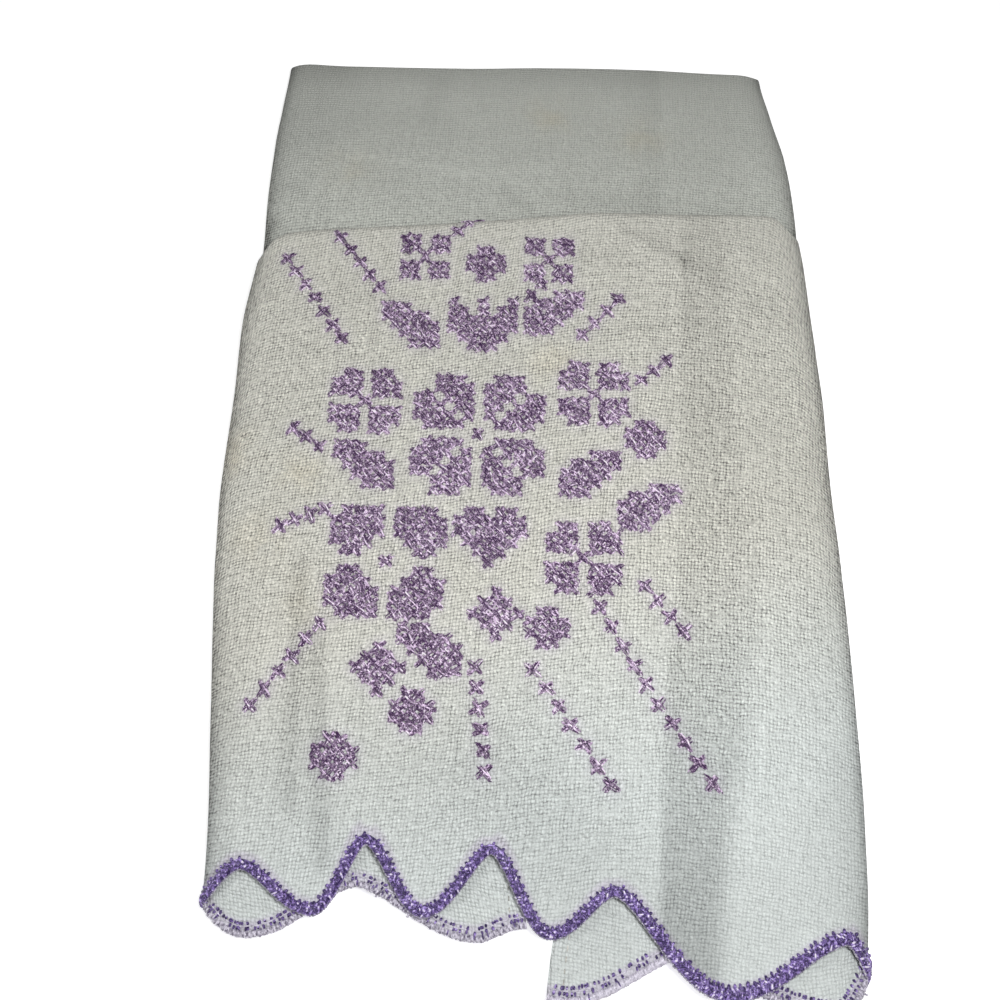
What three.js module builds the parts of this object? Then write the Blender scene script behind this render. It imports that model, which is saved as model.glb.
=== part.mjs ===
// Kitchen towel of plain-woven linen with a scalloped hem along its decorated end.
// It lies folded: both sides are folded in behind until they nearly meet, which makes a strip of
// two layers, and the strip is folded back and forth crosswise. Its panels are, from the top of the
// stack down, the front with the scalloped hem, the return under it, the back that shows past the
// first fold, and the short end tucked under the far edge.
// Units are millimetres. X runs across the strip, Y from the scalloped hem to the far fold, Z up.
// The origin ends up at the bottom centre of the folded towel.

import * as THREE from 'three';

// The cloth before it is folded
const WIDTH_AT_SCALLOPS = 371;
const WIDTH_AT_PLAIN_END = 364;
const THICKNESS = 1.0;
const LAYER_GAP = 0.4;

// The folds along both sides: they open a little towards the scalloped hem
const PITCH = THICKNESS + LAYER_GAP;
const SIDE_RADIUS = PITCH / 2;
const HEM_OPENING = 0.4;
const LEFT_SHARE_OF_FLAPS = 0.51;

// The folds across the strip
const FIRST_FOLD_LOFT = 1.1;
const RESTING_LOFT = 0.4;
const TUCK_LENGTH = 24;
const SCALLOPS_START = -97;

// The scalloped hem from the left side edge to the right one: across is the place along the uncut
// edge, y is where the edge lies once the towel is folded
const SCALLOPS = [
  { part: 'edge', across: 0, y: -129 },
  { part: 'lobe', across: 14, y: -133 },
  { part: 'notch', across: 48, y: -119.5 },
  { part: 'lobe', across: 80, y: -134 },
  { part: 'notch', across: 103.5, y: -116 },
  { part: 'lobe', across: 124.5, y: -127.5 },
  { part: 'notch', across: 138.5, y: -108 },
  { part: 'lobe', across: 155.5, y: -127 },
  { part: 'notch', across: 174.5, y: -109.5 },
  { part: 'lobe', across: 191.5, y: -131.5 },
  { part: 'notch', across: 209.5, y: -119.5 },
  { part: 'lobe', across: 241, y: -145.5 },
  { part: 'notch', across: 277, y: -130 },
  { part: 'lobe', across: 299, y: -150 },
  { part: 'notch', across: 334, y: -135 },
  { part: 'lobe', across: 366, y: -148 },
  { part: 'edge', across: WIDTH_AT_SCALLOPS, y: -147.5 },
];

// How much of each ease between a notch and a lobe falls close to the notch
const NOTCH_SHARPNESS = 0.8;

// Where the crosswise folds lie, from the strip's left side (at 0) to its right side (at 1)
const FIRST_FOLD = [
  { at: 0, y: 90 },
  { at: 0.025, y: 95 },
  { at: 0.07, y: 97.5 },
  { at: 0.32, y: 103 },
  { at: 0.65, y: 107 },
  { at: 0.95, y: 108 },
  { at: 1, y: 101 },
];
const NEAR_FOLD = [
  { at: 0, y: -112 },
  { at: 0.1, y: -103 },
  { at: 0.3, y: -94 },
  { at: 1, y: -88 },
];
const FAR_FOLD = [
  { at: 0, y: 177 },
  { at: 0.03, y: 180.5 },
  { at: 0.5, y: 183 },
  { at: 0.75, y: 182 },
  { at: 0.97, y: 181.2 },
  { at: 1, y: 179 },
];

// The strip's sides in each panel
const FRONT_SIDES = [
  { y: 108, left: -86.5, right: 102 },
  { y: 91, left: -87.5, right: 103 },
  { y: 59, left: -91, right: 104.7 },
  { y: 35, left: -89.4, right: 106 },
  { y: 9, left: -91, right: 106.4 },
  { y: -22, left: -89, right: 107.6 },
  { y: -43, left: -87.2, right: 108.6 },
  { y: -75, left: -83.8, right: 109.2 },
  { y: -115, left: -80, right: 109 },
  { y: -150, left: -79, right: 107.6 },
];
const RETURN_SIDES = [
  { y: 108, left: -86.5, right: 102 },
  { y: 91, left: -87.5, right: 103 },
  { y: 0, left: -87.5, right: 104.5 },
  { y: -60, left: -83.5, right: 106 },
  { y: -112, left: -81.3, right: 106 },
];
const BACK_SIDES = [
  { y: -112, left: -81.3, right: 106 },
  { y: -60, left: -84, right: 105 },
  { y: 0, left: -87.5, right: 104 },
  { y: 98, left: -88.4, right: 103.4 },
  { y: 125, left: -89.2, right: 102.6 },
  { y: 143, left: -89.2, right: 101 },
  { y: 161, left: -88.5, right: 97.4 },
  { y: 183, left: -87, right: 93 },
];

// Height of the back panel's face, which the panels above it follow
const BACK_HEIGHTS = [
  { y: -112, z: THICKNESS / 2 + PITCH },
  { y: 30, z: THICKNESS / 2 + PITCH },
  { y: 70, z: 4.1 },
  { y: 100, z: 7 },
  { y: 116, z: 7.8 },
  { y: 135, z: 7.2 },
  { y: 160, z: 5.7 },
  { y: 183, z: THICKNESS / 2 + 3 * PITCH },
];

// How the front panel comes down past the near fold: past is the distance beyond it
const HEM_DROP = [
  { past: 0, left: 1 },
  { past: 8, left: 0.93 },
  { past: 22, left: 0.6 },
  { past: 38, left: 0.18 },
  { past: 50, left: 0 },
  { past: 70, left: 0 },
];

// Soft swells of the front panel, from one end of each to the other
const SWELLS = [
  { fromX: 92, fromY: -20, toX: 92, toY: -160, width: 26, height: 3 },
  { fromX: -66, fromY: 60, toX: -64, toY: -150, width: 22, height: 1.2 },
  { fromX: 10, fromY: 30, toX: 5, toY: -150, width: 34, height: 1.4 },
  { fromX: 44, fromY: 70, toX: 40, toY: -10, width: 14, height: 0.8 },
];

// How finely the cloth is divided
const FLAP_CELLS = 4;
const ARC_CELLS = 4;
const FACE_CELLS = 14;
const HEM_FLAP_CELLS = 20;
const HEM_FACE_CELLS = 46;
const PANEL_ROWS = { front: 14, return: 10, back: 17, tuck: 2 };
const FOLD_ROWS = 6;
const HEM_ROWS = 4;

// Smooth value of one column of a table between its rows, without overshoot
function smoothed(rows, key, column, value) {
  const rising = rows[rows.length - 1][key] > rows[0][key];
  const order = rising ? rows : [...rows].reverse();
  const last = order.length - 1;
  const x = Math.min(Math.max(value, order[0][key]), order[last][key]);
  let i = 0;
  while (i < last - 1 && x > order[i + 1][key]) i += 1;
  const slope = (n) => {
    if (n < 0 || n >= last) return 0;
    return (order[n + 1][column] - order[n][column]) / (order[n + 1][key] - order[n][key]);
  };
  const tangent = (n) => {
    const before = slope(n - 1);
    const after = slope(n);
    if (before * after <= 0) return 0;
    return (2 * before * after) / (before + after);
  };
  const step = order[i + 1][key] - order[i][key];
  const t = (x - order[i][key]) / step;
  const t2 = t * t;
  const t3 = t2 * t;
  return (2 * t3 - 3 * t2 + 1) * order[i][column]
    + (t3 - 2 * t2 + t) * step * tangent(i)
    + (3 * t2 - 2 * t3) * order[i + 1][column]
    + (t3 - t2) * step * tangent(i + 1);
}

// Place of the scalloped edge at one point along the uncut edge: notches are tighter than lobes
function hemEdge(across) {
  let i = 0;
  while (i < SCALLOPS.length - 2 && across > SCALLOPS[i + 1].across) i += 1;
  const from = SCALLOPS[i];
  const to = SCALLOPS[i + 1];
  const t = THREE.MathUtils.clamp((across - from.across) / (to.across - from.across), 0, 1);
  const fromNotch = from.part === 'notch' ? t : 1 - t;
  const eased = (1 - Math.cos(Math.PI * fromNotch ** NOTCH_SHARPNESS)) / 2;
  const share = from.part === 'notch' ? eased : 1 - eased;
  return from.y + (to.y - from.y) * share;
}

// Height of the swells at one point of the front panel
function swell(x, y) {
  const point = new THREE.Vector3(x, y, 0);
  const nearest = new THREE.Vector3();
  return SWELLS.reduce((sum, row) => {
    const ridge = new THREE.Line3(
      new THREE.Vector3(row.fromX, row.fromY, 0),
      new THREE.Vector3(row.toX, row.toY, 0),
    );
    ridge.closestPointToPoint(point, true, nearest);
    const away = nearest.distanceTo(point) / row.width;
    return sum + row.height * Math.exp(-away * away);
  }, 0);
}

// Heights of each panel's face at one point
function backHeight(y) {
  return smoothed(BACK_HEIGHTS, 'y', 'z', y);
}

function returnHeight(y) {
  return backHeight(y) + PITCH;
}

function pastNearFold(y, at) {
  return Math.max(smoothed(NEAR_FOLD, 'at', 'y', at) - y, 0);
}

function sideRadius(stretch, y, at) {
  if (stretch !== 'hem') return SIDE_RADIUS;
  return SIDE_RADIUS + HEM_OPENING * THREE.MathUtils.smoothstep(pastNearFold(y, at), 0, 20);
}

function frontHeight(y, at, x) {
  const raised = smoothed(HEM_DROP, 'past', 'left', pastNearFold(y, at));
  const nearFirstFold = THREE.MathUtils.smoothstep(y, 20, 100);
  const loft = THREE.MathUtils.lerp(RESTING_LOFT, FIRST_FOLD_LOFT, nearFirstFold);
  const resting = THICKNESS / 2 + 2 * sideRadius('hem', y, at);
  const stacked = returnHeight(y) + 3 * PITCH + loft;
  return resting + (stacked - resting) * raised + swell(x, y) * (1 - nearFirstFold);
}

// One stretch of the strip: panels run from line to line, folds turn half a circle
function foldTurn(line, towards, upper, lower) {
  const radius = (upper - lower) / 2;
  const outside = towards > 0 ? THICKNESS / 2 : THICKNESS / 2 + PITCH;
  return { radius, centre: line - towards * (radius + outside), height: lower + radius };
}

function firstTurn(at, x) {
  const y = smoothed(FIRST_FOLD, 'at', 'y', at);
  return foldTurn(y, 1, frontHeight(y - 3, at, x), returnHeight(y - 3));
}

function nearTurn(at) {
  const y = smoothed(NEAR_FOLD, 'at', 'y', at);
  return foldTurn(y, -1, returnHeight(y), backHeight(y));
}

function farTurn(at) {
  const y = smoothed(FAR_FOLD, 'at', 'y', at);
  return foldTurn(y, 1, backHeight(y - 3), THICKNESS / 2);
}

// Point of the face's line, in Y and Z, at a share along one stretch
const STRETCHES = {
  hem: (share, at, x, across) => {
    const y = THREE.MathUtils.lerp(hemEdge(across), SCALLOPS_START, share);
    return [y, frontHeight(y, at, x)];
  },
  front: (share, at, x) => {
    const y = THREE.MathUtils.lerp(SCALLOPS_START, firstTurn(at, x).centre, share);
    return [y, frontHeight(y, at, x)];
  },
  firstFold: (share, at, x) => {
    const turn = firstTurn(at, x);
    const angle = Math.PI * share;
    return [turn.centre + turn.radius * Math.sin(angle), turn.height + turn.radius * Math.cos(angle)];
  },
  return: (share, at, x) => {
    const y = THREE.MathUtils.lerp(firstTurn(at, x).centre, nearTurn(at).centre, share);
    return [y, returnHeight(y)];
  },
  nearFold: (share, at) => {
    const turn = nearTurn(at);
    const angle = Math.PI * share;
    return [turn.centre - turn.radius * Math.sin(angle), turn.height + turn.radius * Math.cos(angle)];
  },
  back: (share, at) => {
    const y = THREE.MathUtils.lerp(nearTurn(at).centre, farTurn(at).centre, share);
    return [y, backHeight(y)];
  },
  farFold: (share, at) => {
    const turn = farTurn(at);
    const angle = Math.PI * share;
    return [turn.centre + turn.radius * Math.sin(angle), turn.height + turn.radius * Math.cos(angle)];
  },
  tuck: (share, at) => {
    const turn = farTurn(at);
    return [turn.centre - TUCK_LENGTH * share, THICKNESS / 2];
  },
};

// Each stretch's own sides, and how far along the narrowing from the scalloped to the plain end it is
const ALONG = {
  hem: { sides: FRONT_SIDES, from: 0, to: 0 },
  front: { sides: FRONT_SIDES, from: 0, to: 0.35 },
  firstFold: { sides: FRONT_SIDES, from: 0.35, to: 0.35 },
  return: { sides: RETURN_SIDES, from: 0.35, to: 0.6 },
  nearFold: { sides: BACK_SIDES, from: 0.6, to: 0.6 },
  back: { sides: BACK_SIDES, from: 0.6, to: 1 },
  farFold: { sides: BACK_SIDES, from: 1, to: 1 },
  tuck: { sides: BACK_SIDES, from: 1, to: 1 },
};

function flatWidth(stretch, share) {
  const { from, to } = ALONG[stretch];
  const narrowed = THREE.MathUtils.lerp(from, to, share);
  return THREE.MathUtils.lerp(WIDTH_AT_SCALLOPS, WIDTH_AT_PLAIN_END, narrowed);
}

// Section across the strip: turn counts 0 to 1 over the left flap, 1 to 2 round the left fold,
// 2 to 3 over the face, 3 to 4 round the right fold and 4 to 5 over the right flap
function section(turn, width, radius, flat) {
  const face = width - 2 * radius;
  const arc = Math.PI * radius;
  const flaps = flat - face - 2 * arc;
  const leftFlap = flaps * LEFT_SHARE_OF_FLAPS;
  const rightFlap = flaps - leftFlap;
  const part = Math.min(Math.floor(turn), 4);
  const share = turn - part;
  const angle = Math.PI * share;
  const lowerLayer = { depth: 2 * radius, outX: 0, outDepth: 1 };
  const upperLayer = { depth: 0, outX: 0, outDepth: -1 };
  if (part === 0) {
    const run = leftFlap * share;
    return { x: radius + leftFlap - run, across: run, ...lowerLayer };
  }
  if (part === 1) {
    return {
      x: radius - radius * Math.sin(angle),
      depth: radius + radius * Math.cos(angle),
      outX: -Math.sin(angle),
      outDepth: Math.cos(angle),
      across: leftFlap + arc * share,
    };
  }
  if (part === 2) {
    const run = face * share;
    return { x: radius + run, across: leftFlap + arc + run, ...upperLayer };
  }
  if (part === 3) {
    return {
      x: width - radius + radius * Math.sin(angle),
      depth: radius - radius * Math.cos(angle),
      outX: Math.sin(angle),
      outDepth: -Math.cos(angle),
      across: leftFlap + arc + face + arc * share,
    };
  }
  const run = rightFlap * share;
  return { x: width - radius - run, across: leftFlap + 2 * arc + face + run, ...lowerLayer };
}

// Both surfaces of the cloth at one place: the right side first, then the wrong side
function clothPoint(stretch, share, turn) {
  const line = STRETCHES[stretch];
  const { sides } = ALONG[stretch];
  const flat = flatWidth(stretch, share);
  let at = 0.5;
  let left = 0;
  let cut = null;
  let y = line(share, at, 0, flat / 2)[0];
  for (let pass = 0; pass < 3; pass += 1) {
    left = smoothed(sides, 'y', 'left', y);
    const width = smoothed(sides, 'y', 'right', y) - left;
    cut = section(turn, width, sideRadius(stretch, y, at), flat);
    at = cut.x / width;
    y = line(share, at, left + cut.x, cut.across)[0];
  }
  const x = left + cut.x;
  const step = 0.02;
  const here = line(share, at, x, cut.across);
  const before = line(Math.max(share - step, 0), at, x, cut.across);
  const after = line(Math.min(share + step, 1), at, x, cut.across);
  const run = Math.hypot(after[0] - before[0], after[1] - before[1]);
  const normalY = -(after[1] - before[1]) / run;
  const normalZ = (after[0] - before[0]) / run;
  return [1, -1].map((face) => {
    const half = (face * THICKNESS) / 2;
    const depth = cut.depth + cut.outDepth * half;
    return new THREE.Vector3(
      x + cut.outX * half,
      here[0] - normalY * depth,
      here[1] - normalZ * depth,
    );
  });
}

// Places of the columns across one row of the cloth
function columns(flapCells, faceCells) {
  const cells = [flapCells, ARC_CELLS, faceCells, ARC_CELLS, flapCells];
  const places = cells.flatMap((count, part) => (
    Array.from({ length: count }, (_, i) => part + i / count)
  ));
  return [...places, cells.length];
}

function rowsOf(stretch, cells, turns, skipFirst) {
  const rows = [];
  for (let i = skipFirst ? 1 : 0; i <= cells; i += 1) {
    rows.push({ stretch, share: i / cells, turns });
  }
  return rows;
}

// Triangles between two rows that may have different columns, as pairs of row and column
function zipped(near, far) {
  const triangles = [];
  let i = 0;
  let j = 0;
  while (i < near.turns.length - 1 || j < far.turns.length - 1) {
    const nearNext = near.turns[i + 1] ?? Infinity;
    const farNext = far.turns[j + 1] ?? Infinity;
    if (nearNext <= farNext) {
      triangles.push([near.first + i, near.first + i + 1, far.first + j]);
      i += 1;
    } else {
      triangles.push([near.first + i, far.first + j + 1, far.first + j]);
      j += 1;
    }
  }
  return triangles;
}

// The whole cloth as one closed sheet, laid out row by row from the scalloped hem to the tucked end
function clothGeometry() {
  const coarse = columns(FLAP_CELLS, FACE_CELLS);
  const fine = columns(HEM_FLAP_CELLS, HEM_FACE_CELLS);
  const hemRows = rowsOf('hem', HEM_ROWS, fine, false);
  hemRows[HEM_ROWS].turns = coarse;
  const rows = [
    ...hemRows,
    ...rowsOf('front', PANEL_ROWS.front, coarse, true),
    ...rowsOf('firstFold', FOLD_ROWS, coarse, true),
    ...rowsOf('return', PANEL_ROWS.return, coarse, true),
    ...rowsOf('nearFold', FOLD_ROWS, coarse, true),
    ...rowsOf('back', PANEL_ROWS.back, coarse, true),
    ...rowsOf('farFold', FOLD_ROWS, coarse, true),
    ...rowsOf('tuck', PANEL_ROWS.tuck, coarse, true),
  ];

  const rightSide = [];
  const wrongSide = [];
  rows.forEach((row) => {
    row.first = rightSide.length;
    row.turns.forEach((turn) => {
      const [outer, inner] = clothPoint(row.stretch, row.share, turn);
      rightSide.push(outer);
      wrongSide.push(inner);
    });
  });

  const wrong = rightSide.length;
  const index = [];
  const wall = (a, b) => index.push(a, a + wrong, b, b, a + wrong, b + wrong);
  rows.slice(1).forEach((far, i) => {
    zipped(rows[i], far).forEach(([a, b, c]) => {
      index.push(a, b, c, a + wrong, c + wrong, b + wrong);
    });
    wall(far.first, rows[i].first);
    wall(rows[i].first + rows[i].turns.length - 1, far.first + far.turns.length - 1);
  });
  const hem = rows[0];
  const end = rows[rows.length - 1];
  for (let i = 0; i < hem.turns.length - 1; i += 1) wall(hem.first + i, hem.first + i + 1);
  for (let i = 0; i < end.turns.length - 1; i += 1) wall(end.first + i + 1, end.first + i);

  const geometry = new THREE.BufferGeometry();
  geometry.setFromPoints([...rightSide, ...wrongSide]);
  geometry.setIndex(index);
  geometry.computeBoundingBox();
  const box = geometry.boundingBox;
  const centre = box.getCenter(new THREE.Vector3());
  geometry.translate(-centre.x, -centre.y, -box.min.z);
  geometry.computeVertexNormals();
  return geometry;
}

function makeCloth() {
  const linen = new THREE.MeshStandardMaterial({
    color: 0xd6d6cb,
    roughness: 0.92,
    metalness: 0,
  });
  const cloth = new THREE.Mesh(clothGeometry(), linen);
  cloth.name = 'towel_cloth';
  return cloth;
}

const towel = new THREE.Group();
towel.add(makeCloth());

export default towel;
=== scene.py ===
# %% [markdown]
# A folded kitchen towel. The real towel is one piece of plain-woven linen with a scalloped hem that
# is edged in mauve thread, and a spray of crosses stitched on its front. Both long sides are folded
# in behind, and the strip is then folded back and forth, so that the scallops lie in front and the
# back panel shows past the first fold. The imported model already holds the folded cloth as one
# solid. This lesson puts a thin sheet on the same folds and gives it its creases, weave and thread.

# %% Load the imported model
import math

import bmesh
import bpy
import numpy as np
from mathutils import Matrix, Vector


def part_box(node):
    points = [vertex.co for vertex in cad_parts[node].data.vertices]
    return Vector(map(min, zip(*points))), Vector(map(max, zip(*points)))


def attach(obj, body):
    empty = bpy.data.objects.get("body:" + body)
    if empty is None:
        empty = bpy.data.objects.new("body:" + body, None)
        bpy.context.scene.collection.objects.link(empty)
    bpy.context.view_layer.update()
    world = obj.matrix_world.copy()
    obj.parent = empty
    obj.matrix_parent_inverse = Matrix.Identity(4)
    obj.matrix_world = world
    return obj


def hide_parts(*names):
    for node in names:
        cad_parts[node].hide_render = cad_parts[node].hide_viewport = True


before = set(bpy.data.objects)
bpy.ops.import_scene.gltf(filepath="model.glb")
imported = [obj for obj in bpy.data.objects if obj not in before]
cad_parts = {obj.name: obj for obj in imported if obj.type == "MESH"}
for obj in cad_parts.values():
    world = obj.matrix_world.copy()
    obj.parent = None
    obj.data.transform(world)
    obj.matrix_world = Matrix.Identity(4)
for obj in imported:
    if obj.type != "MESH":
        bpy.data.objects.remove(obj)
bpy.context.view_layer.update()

CLOTH_LOW, CLOTH_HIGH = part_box("towel_cloth")
print("box of the folded solid in metres:", [round(side, 4) for side in CLOTH_HIGH - CLOTH_LOW])

# %% [markdown]
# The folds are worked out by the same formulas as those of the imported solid. Some outlines are measured
# more finely here, so the sheet lies within a few millimetres of the solid's sides. The tables are in
# millimetres, measured over the towel as it lies: x runs across the strip, y from the scalloped hem to
# the far fold. Each table is a few named columns, and a smooth line runs through its rows. NumPy works
# out whole columns at a time, which keeps this quick.

# %% Sizes of the folded towel, in millimetres
MM = 0.001
WIDTH_AT_SCALLOPS = 371
WIDTH_AT_PLAIN_END = 364
SOLID_THICKNESS = 1.0
LAYER_GAP = 0.4
PITCH = SOLID_THICKNESS + LAYER_GAP
SIDE_RADIUS = PITCH / 2
HEM_OPENING = 0.4
LEFT_SHARE_OF_FLAPS = 0.51
FIRST_FOLD_LOFT = 1.1
RESTING_LOFT = 0.4
TUCK_LENGTH = 24
SCALLOPS_START = -97
NOTCH_SHARPNESS = 0.8

SCALLOPS = {
    "across": (0, 14, 48, 80, 103.5, 124.5, 138.5, 155.5, 174.5, 191.5, 209.5, 241, 274.5, 291, 334, 366,
               371),
    "y": (-129, -133, -119.5, -134, -116, -127.5, -108, -127, -109.5, -131.5, -119.5, -145.5, -130, -149,
          -135, -148, -147.5),
    "notch": (0, 0, 1, 0, 1, 0, 1, 0, 1, 0, 1, 0, 1, 0, 1, 0, 0),
}
FIRST_FOLD = {
    "at": (0, 0.025, 0.07, 0.32, 0.45, 0.54, 0.63, 0.82, 0.94, 1),
    "y": (90, 95.5, 98.3, 102.8, 105.5, 107.6, 109.3, 109.6, 110, 104),
}
NEAR_FOLD = {"at": (0, 0.1, 0.3, 1), "y": (-112, -103, -94, -88)}
FAR_FOLD = {
    "at": (0, 0.02, 0.12, 0.37, 0.54, 0.71, 0.87, 0.97, 1),
    "y": (182.2, 182.7, 181.9, 182.4, 183.8, 184.2, 183.3, 182.8, 182.3),
}
FRONT_SIDES = {
    "y": (-150, -115, -75, -43, -22, 9, 35, 59, 91, 108),
    "left": (-79.4, -80.5, -84.4, -87.9, -90, -91.5, -91.2, -91.6, -88.4, -86.7),
    "right": (107.1, 109.2, 109.5, 109.3, 108.8, 107.8, 107.7, 106.2, 103.8, 102.2),
}
RETURN_SIDES = {
    "y": (-112, -60, 0, 91, 108),
    "left": (-81.3, -83.5, -87.5, -87.5, -86.5),
    "right": (106, 106, 104.5, 103, 102),
}
BACK_SIDES = {
    "y": (-112, -60, 0, 98, 125, 143, 161, 183),
    "left": (-81.3, -84, -87.5, -88.4, -89.2, -89.2, -88.5, -87.6),
    "right": (106, 105, 104, 103.4, 102.6, 101, 97.4, 94),
}
BACK_HEIGHTS = {
    "y": (-112, 30, 70, 100, 116, 135, 160, 183),
    "z": (SOLID_THICKNESS / 2 + PITCH, SOLID_THICKNESS / 2 + PITCH, 4.1, 7, 7.8, 7.2, 5.7,
          SOLID_THICKNESS / 2 + 3 * PITCH),
}
HEM_DROP = {"past": (0, 8, 22, 38, 50, 70), "left": (1, 0.93, 0.6, 0.18, 0, 0)}

# %% Smooth lines through a table, and the scalloped edge
def smoothed(table, key, column, value):
    """Value of one column between the table's rows, without overshoot."""
    x, y = np.array(table[key], float), np.array(table[column], float)
    value = np.clip(value, x[0], x[-1])
    slope = np.diff(y) / np.diff(x)
    same_way = slope[:-1] * slope[1:] > 0
    both = np.where(same_way, slope[:-1] + slope[1:], 1)
    tangent = np.concatenate([[0], np.where(same_way, 2 * slope[:-1] * slope[1:] / both, 0), [0]])
    i = np.clip(np.searchsorted(x, value) - 1, 0, len(x) - 2)
    step = x[i + 1] - x[i]
    t = (value - x[i]) / step
    return (
        (2 * t**3 - 3 * t**2 + 1) * y[i] + (t**3 - 2 * t**2 + t) * step * tangent[i]
        + (3 * t**2 - 2 * t**3) * y[i + 1] + (t**3 - t**2) * step * tangent[i + 1]
    )


def smoothstep(value, low, high):
    t = np.clip((value - low) / (high - low), 0, 1)
    return t * t * (3 - 2 * t)


def hem_edge(across):
    """Place of the scalloped edge at one point along the uncut edge: notches are tighter than lobes."""
    x, y, notch = (np.array(SCALLOPS[key], float) for key in ("across", "y", "notch"))
    i = np.clip(np.searchsorted(x, across) - 1, 0, len(x) - 2)
    t = np.clip((across - x[i]) / (x[i + 1] - x[i]), 0, 1)
    from_notch = np.where(notch[i] == 1, t, 1 - t)
    eased = (1 - np.cos(math.pi * from_notch**NOTCH_SHARPNESS)) / 2
    return y[i] + (y[i + 1] - y[i]) * np.where(notch[i] == 1, eased, 1 - eased)


SLOPE_STEP = 1.0


def edge_slope(across):
    """How steeply the scalloped edge rises to the right."""
    return (hem_edge(across + SLOPE_STEP / 2) - hem_edge(across - SLOPE_STEP / 2)) / SLOPE_STEP


sample = np.array([0, WIDTH_AT_SCALLOPS / 2, WIDTH_AT_SCALLOPS])
print("hem edge at the left side, the middle and the right side:", hem_edge(sample).round(1))

# %% [markdown]
# Soft linen never lies as flat as a board. The swells are broad rises where the front panel is propped
# up by what lies under it. On top of them come the creases that the towel got from lying folded another
# way, and the small cockles of washed linen. The tables say where each swell or crease runs, how wide it
# is and how high. A crease is a ridge with straight sides and a crisp crest, because a pressed fold
# keeps its edge. The cockles are a sum of a few sine waves, so that they come out the same each time.

# %% Tables of swells, creases and cockles
SWELLS = {
    "from_x": (92, -66, 10, 44), "from_y": (-20, 60, 30, 70), "to_x": (92, -64, 5, 40),
    "to_y": (-160, -150, -150, -10), "width": (26, 22, 34, 14), "height": (3, 1.2, 1.4, 0.8),
}
LONG_CREASE = {
    "y": (-160, -106, -62, -18, 34, 97, 106), "x": (67, 71, 80, 84, 79, 76, 75),
    "left": (20, 22, 29, 28, 21, 17, 16), "height": (3.4, 3.5, 3.5, 3.0, 2.3, 1.5, 1.0),
}
BACK_CREASE = {"y": (98, 120, 183), "x": (54, 54, 55), "left": (13, 13, 12), "height": (0.5, 0.6, 0.4)}
LONG_CREASE_RIGHT = 26
SHORT_CREASES = {
    "from_x": (-50, 36, 72, -80, -20, -66, 30), "from_y": (0, 103, 80, 60, 40, 40, -60),
    "to_x": (-48, 74, 98, -60, -34, -72, 20), "to_y": (-122, 79, 63, 20, 0, -100, -120),
    "left": (8, 5, 6, 7, 9, 8, 14), "right": (16, 9, 9, 9, 9, 9, 10),
    "start": (0.2, 0.9, 0.4, 0.2, 0.2, 0.1, 0.2), "end": (1.0, 0.5, 0.3, 0.2, 0.2, 0.4, 0.6),
}
COCKLES = {
    "length": (61, 43, 29, 19, 13.5), "turn": (0.3, 2.1, 1.1, 2.7, 0.7), "start": (0.4, 1.9, 3.3, 0.9, 5.1),
    "height": (0.16, 0.12, 0.08, 0.045, 0.03),
}
RIDGE_POWER = 1.25
CREASE_FADES_OVER = 14
COCKLE_BEND, BENDS_PER_LENGTH = 0.35, 4.1

# %% Heights of swells, creases and cockles
def from_segment(x, y, x0, y0, x1, y1):
    """Distance from a straight piece of line."""
    dx, dy = x1 - x0, y1 - y0
    t = np.clip(((x - x0) * dx + (y - y0) * dy) / (dx * dx + dy * dy), 0, 1)
    return np.hypot(x - x0 - t * dx, y - y0 - t * dy)


def swells(x, y):
    """Sum of broad rises, one along each line of the table."""
    total = 0
    for x0, y0, x1, y1, width, height in zip(*SWELLS.values()):
        total = total + height * np.exp(-(from_segment(x, y, x0, y0, x1, y1) / width) ** 2)
    return total


def ridge(beside, left, right):
    """Section of a crease: straight sides, each with its own width, up to a crisp crest."""
    return np.maximum(1 - np.abs(beside) / np.where(beside > 0, right, left), 0) ** RIDGE_POWER


def long_crease(table, x, y):
    """The sharp old fold that runs the length of the towel."""
    crest, left, height = (smoothed(table, "y", column, y) for column in ("x", "left", "height"))
    return height * ridge(x - crest, left, LONG_CREASE_RIGHT)


def short_creases(x, y):
    """Sum of short creases, each of them fading out past its two ends."""
    total = 0
    for x0, y0, x1, y1, left, right, start, end in zip(*SHORT_CREASES.values()):
        dx, dy = x1 - x0, y1 - y0
        length = math.hypot(dx, dy)
        t = ((x - x0) * dx + (y - y0) * dy) / length**2
        beside = ((y - y0) * dx - (x - x0) * dy) / length
        fading = 1 - smoothstep(np.maximum(-t, t - 1) * length, 0, CREASE_FADES_OVER)
        total = total + (start + (end - start) * np.clip(t, 0, 1)) * ridge(beside, left, right) * fading
    return total


def cockles(x, y):
    """Small uneven waves of the cloth."""
    total = 0
    for length, turn, start, height in zip(*COCKLES.values()):
        way = x * math.cos(turn) + y * math.sin(turn)
        across = y * math.cos(turn) - x * math.sin(turn)
        bend = COCKLE_BEND * length * np.sin(across * BENDS_PER_LENGTH / length + start)
        total = total + height * np.sin(2 * math.pi * (way + bend) / length + start)
    return total


print("the long crease is", max(LONG_CREASE["height"]), "mm high at most")

# %% [markdown]
# A pile of folded cloth is soft at its sides. It is pressed flat where all the folds are, and it swells
# a little towards its middle. One number, the roundness, is 1 at a side of the strip and falls to 0 about
# a centimetre inside it. Here it presses the layers together, and later it also darkens the sides as
# painted shade, where the cloth rounds away from the light.

# %% Rounded sides
ROUNDED_WIDTH = 9.5
PILLOW = 1.5
SIDE_PRESS = 0.3
FRONT_ENDS_AT = 108


def strip_at(sides, y):
    """Left side of the strip, and its width."""
    left = smoothed(sides, "y", "left", y)
    return left, smoothed(sides, "y", "right", y) - left


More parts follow.
